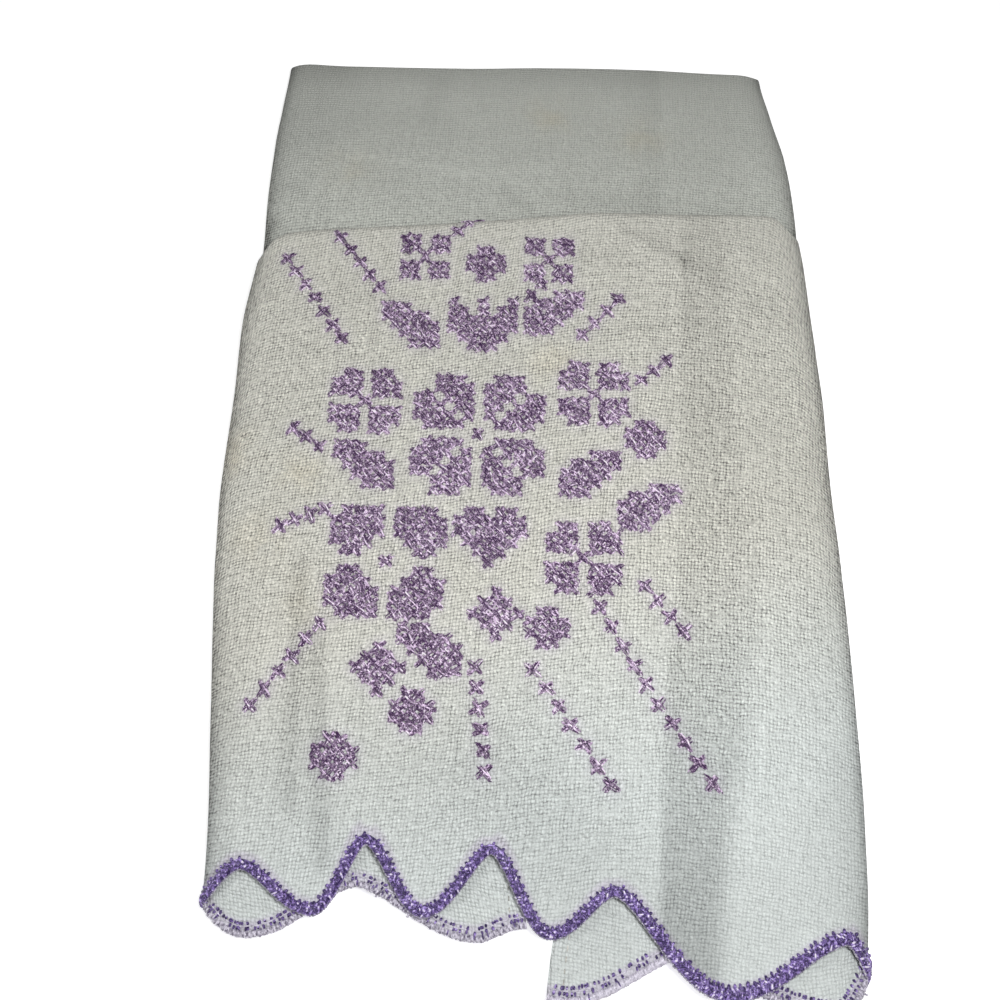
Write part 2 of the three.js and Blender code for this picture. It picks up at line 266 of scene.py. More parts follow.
def roundness(x, y):
    """1 at the sides of the strip, falling to 0 at the rounded width inside them."""
    left, right = (
        np.where(y < FRONT_ENDS_AT, smoothed(FRONT_SIDES, "y", side, y), smoothed(BACK_SIDES, "y", side, y))
        for side in ("left", "right")
    )
    return (1 - np.clip(np.minimum(x - left, right - x) / ROUNDED_WIDTH, 0, 1)) ** 2


def pressed_sides(points):
    """The layers lie closer together at the sides, where all the folds are."""
    x, y, z = np.moveaxis(points, -1, 0)
    return np.stack([x, y, z * (1 - SIDE_PRESS * roundness(x, y))], -1)

# %% [markdown]
# Every point of the cloth is found in two steps. Along the towel it lies on one of eight stretches:
# four panels and the folds between them. Across the towel it lies on a flap, round a side fold, or on
# the face. The section turns round the side folds at a small radius, and the stretches stack the
# layers at the heights that the layers under them need. Near a fold and near the stitched hem the cloth
# is held firmer, so its creases and cockles are lower there.

# %% Heights of the panels
BACK_SHOWS, BACK_FLATTENS, FLATTENED_BACK = (96, 112), (165, 183), 0.7
HEM_OPENS_OVER = 20
NEAR_FIRST_FOLD = (20, 100)
CREASES_LOWER, LOWERED_CREASES = (92, 106), 0.5
FIRM_BEFORE_FOLD, FIRMNESS_BEFORE_FOLD = (88, 104), 0.6
FIRM_NEAR_HEM, FIRMNESS_NEAR_HEM = (100, 125), 0.5
LAYERS_UP_TO_FRONT = 3


def back_height(y, x):
    shows = smoothstep(y, *BACK_SHOWS) * (1 - FLATTENED_BACK * smoothstep(y, *BACK_FLATTENS))
    relief = long_crease(BACK_CREASE, x, y) + cockles(x, y) + PILLOW * (1 - roundness(x, y))
    return smoothed(BACK_HEIGHTS, "y", "z", y) + shows * relief


def return_height(y):
    return smoothed(BACK_HEIGHTS, "y", "z", y) + PITCH


def past_near_fold(y, at):
    return np.maximum(smoothed(NEAR_FOLD, "at", "y", at) - y, 0)


def side_radius(stretch, y, at):
    """Radius of the side folds, which open a little where the hem hangs free."""
    if stretch != "hem":
        return np.full_like(y, SIDE_RADIUS)
    return SIDE_RADIUS + HEM_OPENING * smoothstep(past_near_fold(y, at), 0, HEM_OPENS_OVER)


def front_height(y, at, x):
    """Height of the front panel: on the stack, and coming down to the table past the near fold."""
    raised = smoothed(HEM_DROP, "past", "left", past_near_fold(y, at))
    near_first = smoothstep(y, *NEAR_FIRST_FOLD)
    loft = RESTING_LOFT + (FIRST_FOLD_LOFT - RESTING_LOFT) * near_first
    resting = SOLID_THICKNESS / 2 + 2 * side_radius("hem", y, at)
    stacked = return_height(y) + LAYERS_UP_TO_FRONT * PITCH + loft
    height = resting + (stacked - resting) * raised + swells(x, y) * (1 - near_first)
    lowered = 1 - LOWERED_CREASES * smoothstep(y, *CREASES_LOWER)
    old_folds = (long_crease(LONG_CREASE, x, y) + short_creases(x, y)) * lowered
    firm = (1 - FIRMNESS_BEFORE_FOLD * smoothstep(y, *FIRM_BEFORE_FOLD)
            - FIRMNESS_NEAR_HEM * smoothstep(-y, *FIRM_NEAR_HEM))
    return height + old_folds + cockles(x, y) * firm + PILLOW * (1 - roundness(x, y))

# %% Turns of the three cross folds
MEASURED_INSIDE_FOLD = 3


def fold_turn(line, towards, upper, lower):
    """Radius, centre and height of a half-circle that joins two layers and reaches out to a line."""
    radius = (upper - lower) / 2
    outside = SOLID_THICKNESS / 2 if towards > 0 else SOLID_THICKNESS / 2 + PITCH
    return radius, line - towards * (radius + outside), lower + radius


def first_turn(at, x):
    y = smoothed(FIRST_FOLD, "at", "y", at)
    inside = y - MEASURED_INSIDE_FOLD
    return fold_turn(y, 1, front_height(inside, at, x), return_height(inside))


def near_turn(at, x):
    y = smoothed(NEAR_FOLD, "at", "y", at)
    return fold_turn(y, -1, return_height(y), back_height(y, x))


def far_turn(at, x):
    y = smoothed(FAR_FOLD, "at", "y", at)
    return fold_turn(y, 1, back_height(y - MEASURED_INSIDE_FOLD, x), np.full_like(y, SOLID_THICKNESS / 2))


def half_circle(turn, side, share):
    radius, centre, height = turn
    return centre + side * radius * np.sin(math.pi * share), height + radius * np.cos(math.pi * share)


def between(start, end, share):
    return start + (end - start) * share

# %% The eight stretches, from the scalloped hem to the tucked end
HEM_CORD_LIFT, CORD_LIFT_FADES = 0.95, (2.5, 9)
SIDES = {
    "hem": FRONT_SIDES, "front": FRONT_SIDES, "first_fold": FRONT_SIDES, "return": RETURN_SIDES,
    "near_fold": BACK_SIDES, "back": BACK_SIDES, "far_fold": BACK_SIDES, "tuck": BACK_SIDES,
}
NARROWED = {
    "hem": (0, 0), "front": (0, 0.35), "first_fold": (0.35, 0.35), "return": (0.35, 0.6),
    "near_fold": (0.6, 0.6), "back": (0.6, 1), "far_fold": (1, 1), "tuck": (1, 1),
}


def line_at(stretch, share, at, x, across):
    """Y and Z of the face's line at a share along one stretch."""
    if stretch == "hem":
        edge = hem_edge(across)
        y = between(edge, SCALLOPS_START, share)
        return y, front_height(y, at, x) + HEM_CORD_LIFT * (1 - smoothstep(y - edge, *CORD_LIFT_FADES))
    if stretch == "front":
        y = between(SCALLOPS_START, first_turn(at, x)[1], share)
        return y, front_height(y, at, x)
    if stretch == "first_fold":
        return half_circle(first_turn(at, x), 1, share)
    if stretch == "return":
        y = between(first_turn(at, x)[1], near_turn(at, x)[1], share)
        return y, return_height(y)
    if stretch == "near_fold":
        return half_circle(near_turn(at, x), -1, share)
    if stretch == "back":
        y = between(near_turn(at, x)[1], far_turn(at, x)[1], share)
        return y, back_height(y, x)
    if stretch == "far_fold":
        return half_circle(far_turn(at, x), 1, share)
    y = far_turn(at, x)[1] - TUCK_LENGTH * share
    return y, np.full_like(y, SOLID_THICKNESS / 2)

# %% The section across the strip
JUST_BELOW_ONE = 0.9999


def widths_across(width, radius, flat):
    """Flat widths of the left flap, a side fold, the face and the right flap."""
    face, arc = width - 2 * radius, math.pi * radius
    left_flap = (flat - face - 2 * arc) * LEFT_SHARE_OF_FLAPS
    return left_flap, arc, face, flat - face - 2 * arc - left_flap


def section(turn, width, radius, flat):
    """Place across the strip. turn counts 0 to 1 over the left flap, 1 to 2 round the left fold,
    2 to 3 over the face, 3 to 4 round the right fold and 4 to 5 over the right flap."""
    left_flap, arc, face, right_flap = widths_across(width, radius, flat)
    part = np.clip(np.floor(turn), 0, 4)
    share = turn - part
    sine, cosine = np.sin(math.pi * share), np.cos(math.pi * share)
    which = [part == n for n in range(5)]
    x = np.select(which, [
        radius + left_flap * (1 - share), radius - radius * sine, radius + face * share,
        width - radius + radius * sine, width - radius - right_flap * share,
    ])
    depth = np.select(which, [
        2 * radius, radius + radius * cosine, 0 * x, radius - radius * cosine, 2 * radius,
    ])
    out_x = np.select(which, [0 * x, -sine, 0 * x, sine, 0 * x])
    out_depth = np.select(which, [1 + 0 * x, cosine, -1 + 0 * x, -cosine, 1 + 0 * x])
    across = np.select(which, [
        left_flap * share, left_flap + arc * share, left_flap + arc + face * share,
        left_flap + arc + face + arc * share, left_flap + 2 * arc + face + right_flap * share,
    ])
    return x, depth, out_x, out_depth, across


def turn_at(across, width, radius, flat):
    """The turn that lies at a place across the flat cloth."""
    left_flap, arc, face, right_flap = widths_across(width, radius, flat)
    ends = np.stack([0 * face, left_flap, left_flap + arc, left_flap + arc + face,
                     left_flap + 2 * arc + face, left_flap + 2 * arc + face + right_flap])
    part = np.clip((across >= ends[1:-1]).sum(0), 0, 4)
    low = np.take_along_axis(ends, part[None], 0)[0]
    high = np.take_along_axis(ends, part[None] + 1, 0)[0]
    return part + np.clip((across - low) / (high - low), 0, JUST_BELOW_ONE)

# %% Points of the folded cloth
ROUNDS_TO_SETTLE = 3
SLOPE_SHARE = 0.02


def cloth_points(stretch, share, turn):
    """Middle of the cloth, the way out of its right side, and its place across the flat cloth."""
    share, turn = np.broadcast_arrays(np.asarray(share, float), np.asarray(turn, float))
    flat = between(WIDTH_AT_SCALLOPS, WIDTH_AT_PLAIN_END, between(*NARROWED[stretch], share))
    at, x, across = np.full(share.shape, 0.5), np.zeros(share.shape), flat / 2
    y = line_at(stretch, share, at, x, across)[0]
    for _ in range(ROUNDS_TO_SETTLE):
        left, width = strip_at(SIDES[stretch], y)
        run, depth, out_x, out_depth, across = section(turn, width, side_radius(stretch, y, at), flat)
        at, x = run / width, left + run
        y = line_at(stretch, share, at, x, across)[0]
    here = line_at(stretch, share, at, x, across)
    before = line_at(stretch, np.maximum(share - SLOPE_SHARE, 0), at, x, across)
    after = line_at(stretch, np.minimum(share + SLOPE_SHARE, 1), at, x, across)
    dy, dz = after[0] - before[0], after[1] - before[1]
    length = np.hypot(dy, dz)
    up_y, up_z = -dz / length, dy / length
    middle = np.stack([x, here[0] - up_y * depth, here[1] - up_z * depth], -1)
    out = np.stack([out_x, -up_y * out_depth, -up_z * out_depth], -1)
    return middle, out, across


def hem_points(across, y):
    """The same at a place given by the flat cloth's across and the folded towel's y, near the hem."""
    edge = hem_edge(across)
    share = (y - edge) / (SCALLOPS_START - edge)
    at = np.full(across.shape, 0.5)
    flat = np.full(across.shape, float(WIDTH_AT_SCALLOPS))
    width = strip_at(FRONT_SIDES, y)[1]
    for _ in range(ROUNDS_TO_SETTLE):
        radius = side_radius("hem", y, at)
        turn = turn_at(across, width, radius, flat)
        at = section(turn, width, radius, flat)[0] / width
    return cloth_points("hem", share, turn)

# %% [markdown]
# The sheet starts as a flat grid, as real cloth does, with its rows closer together where the towel
# shows and at the tight folds. Each point of the grid is then carried to its place in the folded
# towel. How far it lies along the flat cloth is measured over the folds, because the weave has to
# follow the cloth round them.

# %% Lay the flat grid on the folds
COLUMN_CELLS = (40, 8, 86, 8, 40)
ROW_CELLS = {
    "hem": 14, "front": 84, "first_fold": 14, "return": 18, "near_fold": 10, "back": 62, "far_fold": 12,
    "tuck": 4,
}
HIDDEN_SHARE_OF_BACK = 0.62
HIDDEN_ROWS_OF_BACK = 20


def row_shares(stretch, cells):
    """Places of a stretch's rows: the back panel has most of its rows where it shows."""
    if stretch != "back":
        return np.arange(cells) / cells
    hidden = np.arange(HIDDEN_ROWS_OF_BACK) / HIDDEN_ROWS_OF_BACK * HIDDEN_SHARE_OF_BACK
    shown = np.arange(cells - HIDDEN_ROWS_OF_BACK) / (cells - HIDDEN_ROWS_OF_BACK)
    return np.concatenate([hidden, HIDDEN_SHARE_OF_BACK + (1 - HIDDEN_SHARE_OF_BACK) * shown])


turns = np.concatenate([part + np.arange(cells) / cells for part, cells in enumerate(COLUMN_CELLS)] + [[5]])
rows = [(stretch, share) for stretch, cells in ROW_CELLS.items() for share in row_shares(stretch, cells)]
rows.append(("tuck", 1.0))
middle = np.zeros((len(rows), len(turns), 3))
out = np.zeros_like(middle)
across = np.zeros(middle.shape[:2])
for r, (stretch, share) in enumerate(rows):
    middle[r], out[r], across[r] = cloth_points(stretch, share, turns)
print(f"grid of {len(rows)} rows and {len(turns)} columns")

# %% Distances along the flat cloth, counted from where the scallops start
lengths = np.linalg.norm(np.diff(middle, axis=0), axis=2)
along = np.concatenate([np.zeros((1, len(turns))), np.cumsum(lengths, axis=0)])
from_start = along - along[ROW_CELLS["hem"]][None, :]
face = slice(int(sum(COLUMN_CELLS[:2])), int(sum(COLUMN_CELLS[:3])) + 1)
from_start = np.broadcast_to(from_start[:, face].mean(axis=1)[:, None], from_start.shape).copy()
hem_rows = slice(0, ROW_CELLS["hem"] + 1)
from_start[hem_rows] = middle[hem_rows, :, 1] - SCALLOPS_START
print(f"flat length {from_start.max() - from_start.min():.0f} mm")

# %% From the tables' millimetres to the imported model's metres
PLAN_CENTRE = np.array([9.1, 16.24, 0])
FRAME_CENTRE = np.array([(CLOTH_LOW.x + CLOTH_HIGH.x) / 2, (CLOTH_LOW.y + CLOTH_HIGH.y) / 2, 0])


def in_frame(points):
    """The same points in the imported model's metres, with the sides pressed."""
    return (pressed_sides(np.asarray(points, float)) - PLAN_CENTRE) * MM + FRAME_CENTRE


print("middle of the grid in metres:", in_frame(middle).reshape(-1, 3).mean(0).round(4))

# %% [markdown]
# A weave is counted in threads, not in millimetres, so the UV map holds thread counts. The warps run
# along the towel and lean a little, and the wefts rise and then fall like an arch where the cloth was
# pulled. Both are seen on the real towel, and both are left to the map, not to the shape.

# %% Thread counts of the weave
THREAD = 1.07
GRAIN_LEAN = -0.11
WEFT_RISE, WEFT_FALL = 0.14, 0.33
WEFT_TURNS, WEFT_LEVELS = (195, 265), (290, 330)
ARCH_LOST, ARCH_FADES = 0.7, (200, 380)


def grain(across_flat, along_flat):
    """Thread counts across and along: the warps lean, and the wefts rise and then fall like an arch."""
    u = across_flat + GRAIN_LEAN * along_flat
    places = np.arange(0, WIDTH_AT_SCALLOPS + 1.0)
    falling = smoothstep(places, *WEFT_TURNS) * (1 - smoothstep(places, *WEFT_LEVELS))
    arch = np.interp(across_flat, places, np.cumsum(WEFT_RISE - WEFT_FALL * falling))
    v = along_flat - arch * (1 - ARCH_LOST * smoothstep(along_flat, *ARCH_FADES))
    return u / THREAD, v / THREAD


threads = np.stack(grain(across, from_start), -1)
print("threads across the flat cloth:", round(float(np.ptp(threads[0, :, 0]))))

# %% [markdown]
# The greying on the cloth is painted shade. It lies in a band beside the long crease, where the crease's
# side turns away from the light, and in soft lines along small creases and slopes. It makes a painted shadow
# beside the first fold and darkens the cloth near the far edge. Each soft line below is one crease or slope,
# with where it runs, its width and its share of painted shade, and a negative share is a paler line, a
# painted highlight. A few faint yellow stains are round patches. All of it is worked out for each point of
# the sheet and kept as attributes, so it follows the cloth and costs nothing to render.

# %% Tables of painted shade and stains
# Painted shade in the band on the left of the long crease, where its slope faces away from the light.
FOLD_SHADE = {"y": (-160, -106, -62, -18, 34, 97, 112), "share": (1.9, 1.4, 0.85, 0.5, 0.6, 0.55, 0.4)}
FRONT_PAINTED_SHADE_LINES = (
    (-62, -24, -58, -98, 2.6, 0.9), (-54.5, -46, -46.5, -113, 3, 1.0), (-78, -50, -72, -116, 12, 0.3),
    (-70, -50, -71, -105, 6, -0.4), (-50, -50, -45, -90, 3, -0.3), (-84, -82, 10, -98, 24, 0.3),
    (0, -84, 36, -122, 20, 0.45), (101, -85, 102, -130, 7, 0.45), (39.7, 100.6, 60.2, 89.3, 2.2, 0.7),
    (60.2, 89.3, 72.6, 79.8, 2.2, 0.5), (72.6, 79.8, 91, 67, 3.5, 0.25), (61, 97, 62, 58, 2, 0.35),
    (25, 60.5, 55.5, 65, 2, 0.4), (25, 90, 44, 91, 4, 0.35),
)
BACK_PAINTED_SHADE_LINES = (
    (-2, 121, 18, 101, 2.2, 0.6), (-74, 186, -82, 130, 22, 0.4), (-84, 182, -70, 182, 12, 0.4),
    (-29, 172, -32, 156, 5, 0.35), (-59, 135.5, -17, 128, 1.6, -0.4), (-17, 128, 13, 131, 1.6, -0.4),
    (86, 139, 95, 115, 7, -0.35), (-76, 129, -58, 116, 9, -0.3), (20, 119, 46, 117, 4, 0.35),
)
BACK_LINE_X = 54
SIDE_PAINTED_SHADE = 3.0
SIDE_PAINTED_SHADE_POWER = 2
BAND_RISES_OVER, BAND_FALLS_FROM, BAND_FALLS_PAST = 2.5, 0.3, 2
# Painted shade in a band beside the crease down the back panel.
BACK_BAND_PAINTED_SHADE, BACK_BAND_RISES, BACK_BAND_FALLS = 0.35, (-13, -1), (0, 1.5)
PAST_FOLD_PAINTED_SHADOW, PAST_FOLD_REACH = 0.8, 4
FAR_EDGE_PAINTED_SHADE, FAR_EDGE_RISES = 0.8, (170, 183)
WIDTH_BESIDE_FIRST_FOLD = 190
STAINS = {
    "x": (13.5, 47, -60, -89, -65, -76, -58, 17), "y": (157, 147, 129, 14, 7, -17, -36, 50),
    "radius": (8, 9, 9, 8, 8, 9, 8, 8), "share": (0.2, 0.17, 0.15, 0.25, 0.25, 0.2, 0.2, 0.25),
}

# %% Painted shade and stains at each point
def painted_shade_lines(rows, x, y):
    """Sum of soft lines of painted shade, each from one point to another, with a width and a share of
    painted shade.
    """
    total = 0
    for x0, y0, x1, y1, width, share in rows:
        total = total + share * np.exp(-(from_segment(x, y, x0, y0, x1, y1) / width) ** 2)
    return total


def painted_shade_in_front(x, y):
    """Painted shade in the band on the left of the long crease, and the soft lines."""
    crest, left = smoothed(LONG_CREASE, "y", "x", y), smoothed(LONG_CREASE, "y", "left", y)
    rising = smoothstep(x, crest - left, crest - left + BAND_RISES_OVER)
    falling = smoothstep(x, crest - BAND_FALLS_FROM * left, crest + BAND_FALLS_PAST)
    return rising * (1 - falling) * smoothed(FOLD_SHADE, "y", "share", y) + painted_shade_lines(FRONT_PAINTED_SHADE_LINES, x, y)


def painted_shade_at_back(x, y):
    """The same on the back panel, with a painted shadow beside the first fold and painted shade at the far
    edge.
    """
    rising = smoothstep(x - BACK_LINE_X, *BACK_BAND_RISES)
    falling = smoothstep(x - BACK_LINE_X, *BACK_BAND_FALLS)
    at = (x - smoothed(BACK_SIDES, "y", "left", y)) / WIDTH_BESIDE_FIRST_FOLD
    # A painted shadow just past the first fold, and painted shade where the back rounds over the far fold.
    past_fold = np.maximum(y - smoothed(FIRST_FOLD, "at", "y", at), 0)
    folds = PAST_FOLD_PAINTED_SHADOW * np.exp(-past_fold / PAST_FOLD_REACH)
    folds = folds + FAR_EDGE_PAINTED_SHADE * smoothstep(y, *FAR_EDGE_RISES)
    return BACK_BAND_PAINTED_SHADE * rising * (1 - falling) + folds + painted_shade_lines(BACK_PAINTED_SHADE_LINES, x, y)


def stains(x, y):
    total = 0
    for place_x, place_y, radius, share in zip(*STAINS.values()):
        total = total + share * np.exp(-(np.hypot(x - place_x, y - place_y) / radius) ** 2)
    return total


x, y = middle[..., 0], middle[..., 1]
behind = np.array([stretch not in ("hem", "front", "first_fold") for stretch, _ in rows])[:, None]
# All of this greying is painted shade, with a painted highlight where a line's share is negative.
painted_fold_shade = np.where(behind, painted_shade_at_back(x, y), painted_shade_in_front(x, y))
# Darker at the rounded sides, where the cloth turns away from the light: painted shade.
painted_fold_shade = painted_fold_shade + SIDE_PAINTED_SHADE * roundness(x, y) ** SIDE_PAINTED_SHADE_POWER
stained = stains(x, y)
print(f"greying from {painted_fold_shade.min():.2f} to {painted_fold_shade.max():.2f}, stains up to {stained.max():.2f}")

# %% Make the sheet
CLOTH_THICKNESS = 0.7
FAR_INSIDE = 30

inside_hem = np.minimum((y - hem_edge(across)) * np.cos(np.arctan(edge_slope(across))), FAR_INSIDE)
inside_hem[ROW_CELLS["hem"] + ROW_CELLS["front"]:] = FAR_INSIDE
point_values = {
    "inside_hem": inside_hem, "painted_fold_shade": painted_fold_shade, "stain": stained,
    "behind": np.broadcast_to(behind, y.shape).astype(float),
}
placed = in_frame(middle)


def make_sheet():
    """A flat grid, each vertex of which is moved to its place on the folds."""
    mesh = bpy.data.meshes.new("towel_linen")
    sheet = bmesh.new()
    bmesh.ops.create_grid(sheet, x_segments=len(turns) - 1, y_segments=len(rows) - 1, size=1.0)
    uv_layer = sheet.loops.layers.uv.new("threads")
    for name in point_values:
        sheet.verts.layers.float.new(name)
    layers = {name: sheet.verts.layers.float[name] for name in point_values}
    for vertex in sheet.verts:
        column = round((vertex.co.x + 1) / 2 * (len(turns) - 1))
        row = round((vertex.co.y + 1) / 2 * (len(rows) - 1))
        for loop in vertex.link_loops:
            loop[uv_layer].uv = threads[row, column]
        for name, values in point_values.items():
            vertex[layers[name]] = values[row, column]
        vertex.co = placed[row, column]
    for grid_face in sheet.faces:
        grid_face.smooth = True
    sheet.to_mesh(mesh)
    sheet.free()
    return mesh


def new_object(name, data):
    """An object in the scene for a mesh, a curve, a light or a camera."""
    made = bpy.data.objects.new(name, data)
    bpy.context.scene.collection.objects.link(made)
    return made


mesh = make_sheet()
linen = new_object("towel_linen", mesh)
thicken = linen.modifiers.new("thickness", "SOLIDIFY")
thicken.thickness = CLOTH_THICKNESS * MM
thicken.offset = 0
print(f"sheet of {len(mesh.polygons)} faces, a normal is {mesh.polygons[len(mesh.polygons) // 4].normal[:]}")

# %% [markdown]
# Materials are trees of nodes. A few helpers make them short to write: one makes a node and joins or
# sets its inputs, and the others make the nodes that are used again and again. The last one ends a
# tree: a Principled surface with a bump, because linen and thread are both rough and slightly fuzzy.

# %% Helpers for materials
NOISE_LOW, NOISE_HIGH = 0.3, 0.7
FUZZ = 0.1


def new_material(name):
    material = bpy.data.materials.new(name)
    material.use_nodes = True
    material.node_tree.nodes.clear()
    return material, material.node_tree


def plug(tree, value, socket):
    """Joins a socket to an output, or sets it to a plain value."""
    if isinstance(value, bpy.types.NodeSocket):
        tree.links.new(value, socket)
    else:
        socket.default_value = value


def node(tree, kind, inputs=None, **settings):
    """A node with its settings; the inputs are values or outputs, by name or number."""
    made = tree.nodes.new(kind)
    for key, value in settings.items():
        setattr(made, key, value)
    for key, value in (inputs or {}).items():
        plug(tree, value, made.inputs[key])
    return made


def maths(tree, operation, *values):
    return node(tree, "ShaderNodeMath", dict(enumerate(values)), operation=operation).outputs[0]


def remap(tree, value, low, high, new_low, new_high, smooth=False):
    inputs = dict(enumerate((value, low, high, new_low, new_high)))
    kind = "SMOOTHSTEP" if smooth else "LINEAR"
    return node(tree, "ShaderNodeMapRange", inputs, interpolation_type=kind).outputs[0]


def swing(tree, value, amount):
    """A noise stretched to swing from minus to plus an amount."""
    return remap(tree, value, NOISE_LOW, NOISE_HIGH, -amount, amount)


def mixed(tree, share, first, second, blend="MIX"):
    """One colour mix."""
    inputs = {"Factor": share, 6: first, 7: second}
    return node(tree, "ShaderNodeMix", inputs, data_type="RGBA", blend_type=blend).outputs[2]


def mixed_number(tree, share, first, second):
    return node(tree, "ShaderNodeMix", {0: share, 2: first, 3: second}, data_type="FLOAT").outputs[0]


def attribute(tree, name):
    return node(tree, "ShaderNodeAttribute", attribute_name=name).outputs["Fac"]


def axes(tree, vector):
    return node(tree, "ShaderNodeSeparateXYZ", {0: vector}).outputs


def noise(tree, vector, scale, detail=2.0, stretch=None):
    if stretch is not None:
        vector = node(tree, "ShaderNodeMapping", {"Vector": vector, "Scale": stretch}).outputs[0]
    inputs = {"Scale": scale, "Detail": detail, "Vector": vector}
    return node(tree, "ShaderNodeTexNoise", inputs).outputs["Fac"]


def fuzzy_surface(tree, colour, height, bump_strength, bump_depth, roughness, gloss, fuzz_roughness):
    """A Principled surface with a bump, joined to the tree's output."""
    inputs = {"Strength": bump_strength, "Distance": bump_depth, "Height": height}
    bump = node(tree, "ShaderNodeBump", inputs).outputs[0]
    surface = node(tree, "ShaderNodeBsdfPrincipled", {
        "Base Color": colour, "Normal": bump, "Roughness": roughness, "Specular IOR Level": gloss,
        "Sheen Weight": FUZZ, "Sheen Roughness": fuzz_roughness,
    })
    node(tree, "ShaderNodeOutputMaterial", {0: surface.outputs[0]})

# %% [markdown]
# Linen is woven one over, one under. The material works out from the thread counts of the UV map
# which of the two threads is on top and gives each the round top of a yarn, lighter on top as a painted
# highlight. It paints shade into the grooves beside it and into the pinhole where four threads meet, where
# the dark is partly shade and partly what shows through the hole. Stretched noise makes some threads
# thicker or brighter than others, as hand-spun linen is. The same height drives the bump, so light from the
# side picks out the weave.

# %% The linen's weave: which thread is on top, and the pinholes
WANDER_SCALE, WANDER_DETAIL, WANDER = 0.13, 3.0, 2.2
CROSSING_BLUR = 0.2
PINHOLE_POWER = 0.8


def wandering(tree, uv):
    """The thread counts, a little displaced by a broad noise, so that no thread is straight."""
    inputs = {"Scale": WANDER_SCALE, "Detail": WANDER_DETAIL, "Vector": uv}
    wander = node(tree, "ShaderNodeTexNoise", inputs).outputs["Color"]
    inputs = {0: wander, 1: (WANDER, WANDER, 0), 2: uv}
    return node(tree, "ShaderNodeVectorMath", inputs, operation="MULTIPLY_ADD").outputs[0]


def crossings(tree, counts):
    """Where the warp is on top, the tops of the floats, the grooves beside them, and the pinholes."""
    place = axes(tree, counts)
    sine_u, sine_v = (maths(tree, "SINE", maths(tree, "MULTIPLY", place[n], math.pi)) for n in (0, 1))
    warp_top, weft_top = maths(tree, "ABSOLUTE", sine_u), maths(tree, "ABSOLUTE", sine_v)
    both = maths(tree, "MULTIPLY", sine_u, sine_v)
    warp_over = remap(tree, both, -CROSSING_BLUR, CROSSING_BLUR, 0.0, 1.0, smooth=True)
    float_top = maths(tree, "MULTIPLY", warp_top, weft_top)
    gaps = [maths(tree, "SUBTRACT", 1.0, top) for top in (warp_top, weft_top)]
    pinhole = maths(tree, "POWER", maths(tree, "MULTIPLY", *gaps), PINHOLE_POWER)
    groove = maths(tree, "SUBTRACT", 1.0, mixed_number(tree, warp_over, weft_top, warp_top))
    return warp_over, float_top, groove, pinhole


def cell_noise(tree, counts, offset):
    """One random number for each crossing of two threads."""
    moved = node(tree, "ShaderNodeVectorMath", {0: counts, 1: (offset, offset, 0)}, operation="ADD")
    cell = node(tree, "ShaderNodeVectorMath", {0: moved.outputs[0]}, operation="FLOOR")
    return node(tree, "ShaderNodeTexWhiteNoise", {"Vector": cell.outputs[0]},
                noise_dimensions="2D").outputs["Value"]

# %% The linen's weave: height and brightness of the threads
PINHOLE_PAINTED_SHADE, GROOVE_PAINTED_SHADE = 0.24, (0.06, 0.66)
WARP_BRIGHTNESS, FLOAT_BRIGHTNESS = 0.08, (-0.1, 0.2)
SLUB_SCALE, SLUB_DETAIL, SLUB = 1.0, 1.0, 0.1
ACROSS_THREAD, ALONG_THREAD = 0.95, 0.05
SPECKLE_SCALE, SPECKLE_DETAIL, SPECKLE = 1.9, 2.0, 0.2
FLOAT_HEIGHT = 0.5


def weave(tree, uv):
    """Two numbers from the thread counts: the height of the cloth, and its brightness from the yarn's own
    tone, painted highlights on the float tops and painted shade in the grooves and pinholes.
    """
    counts = wandering(tree, uv)
    warp_over, float_top, groove, pinhole = crossings(tree, counts)
    speckle = noise(tree, uv, SPECKLE_SCALE, SPECKLE_DETAIL)
    each_hole, each_float = (cell_noise(tree, counts, offset) for offset in (0.5, 0.0))
    warp_slub = noise(tree, uv, SLUB_SCALE, SLUB_DETAIL, stretch=(ACROSS_THREAD, ALONG_THREAD, 1))
    weft_slub = noise(tree, uv, SLUB_SCALE, SLUB_DETAIL, stretch=(ALONG_THREAD, ACROSS_THREAD, 1))
    slub = mixed_number(tree, warp_over, weft_slub, warp_slub)
    # Painted shade in the grooves and pinholes.
    painted_hollow_shade = maths(tree, "MULTIPLY", groove, remap(tree, each_hole, 0.0, 1.0, *GROOVE_PAINTED_SHADE))
    painted_hollow_shade = maths(tree, "MULTIPLY_ADD", pinhole, PINHOLE_PAINTED_SHADE, painted_hollow_shade)
    each_top = remap(tree, each_float, 0.0, 1.0, *FLOAT_BRIGHTNESS)
    each_top = maths(tree, "MULTIPLY_ADD", warp_over, WARP_BRIGHTNESS, each_top)
    # Float tops lighter: a painted highlight, with each float's own tone.
    bright = maths(tree, "MULTIPLY", float_top, each_top)
    bright = maths(tree, "ADD", bright, swing(tree, slub, SLUB))
    bright = maths(tree, "ADD", bright, swing(tree, speckle, SPECKLE))
    height = maths(tree, "SUBTRACT", maths(tree, "MULTIPLY", float_top, FLOAT_HEIGHT), groove)
    return maths(tree, "ADD", height, bright), maths(tree, "SUBTRACT", bright, painted_hollow_shade)

# %% [markdown]
# The yarn is a warm off-white. It is painted cooler towards the hem, as the light there is cooler, and
# painted greyer behind, as the shade of the back panel. It is faintly lilac beside the stitches, as the
# thread's dye and its reflection make it. The weave shows best in the middle of the front and fades towards
# the near edge, where the light falls straight on it. The stains and the painted shade of the folds come
# from the attributes of the sheet, and a broad mottle keeps it from looking printed.

# %% The colour of the yarn
LINEN_WARM = (0.845, 0.835, 0.755, 1)
# Painted cool light towards the hem.
LINEN_PAINTED_COOL_LIGHT = (0.84, 0.89, 0.87, 1)
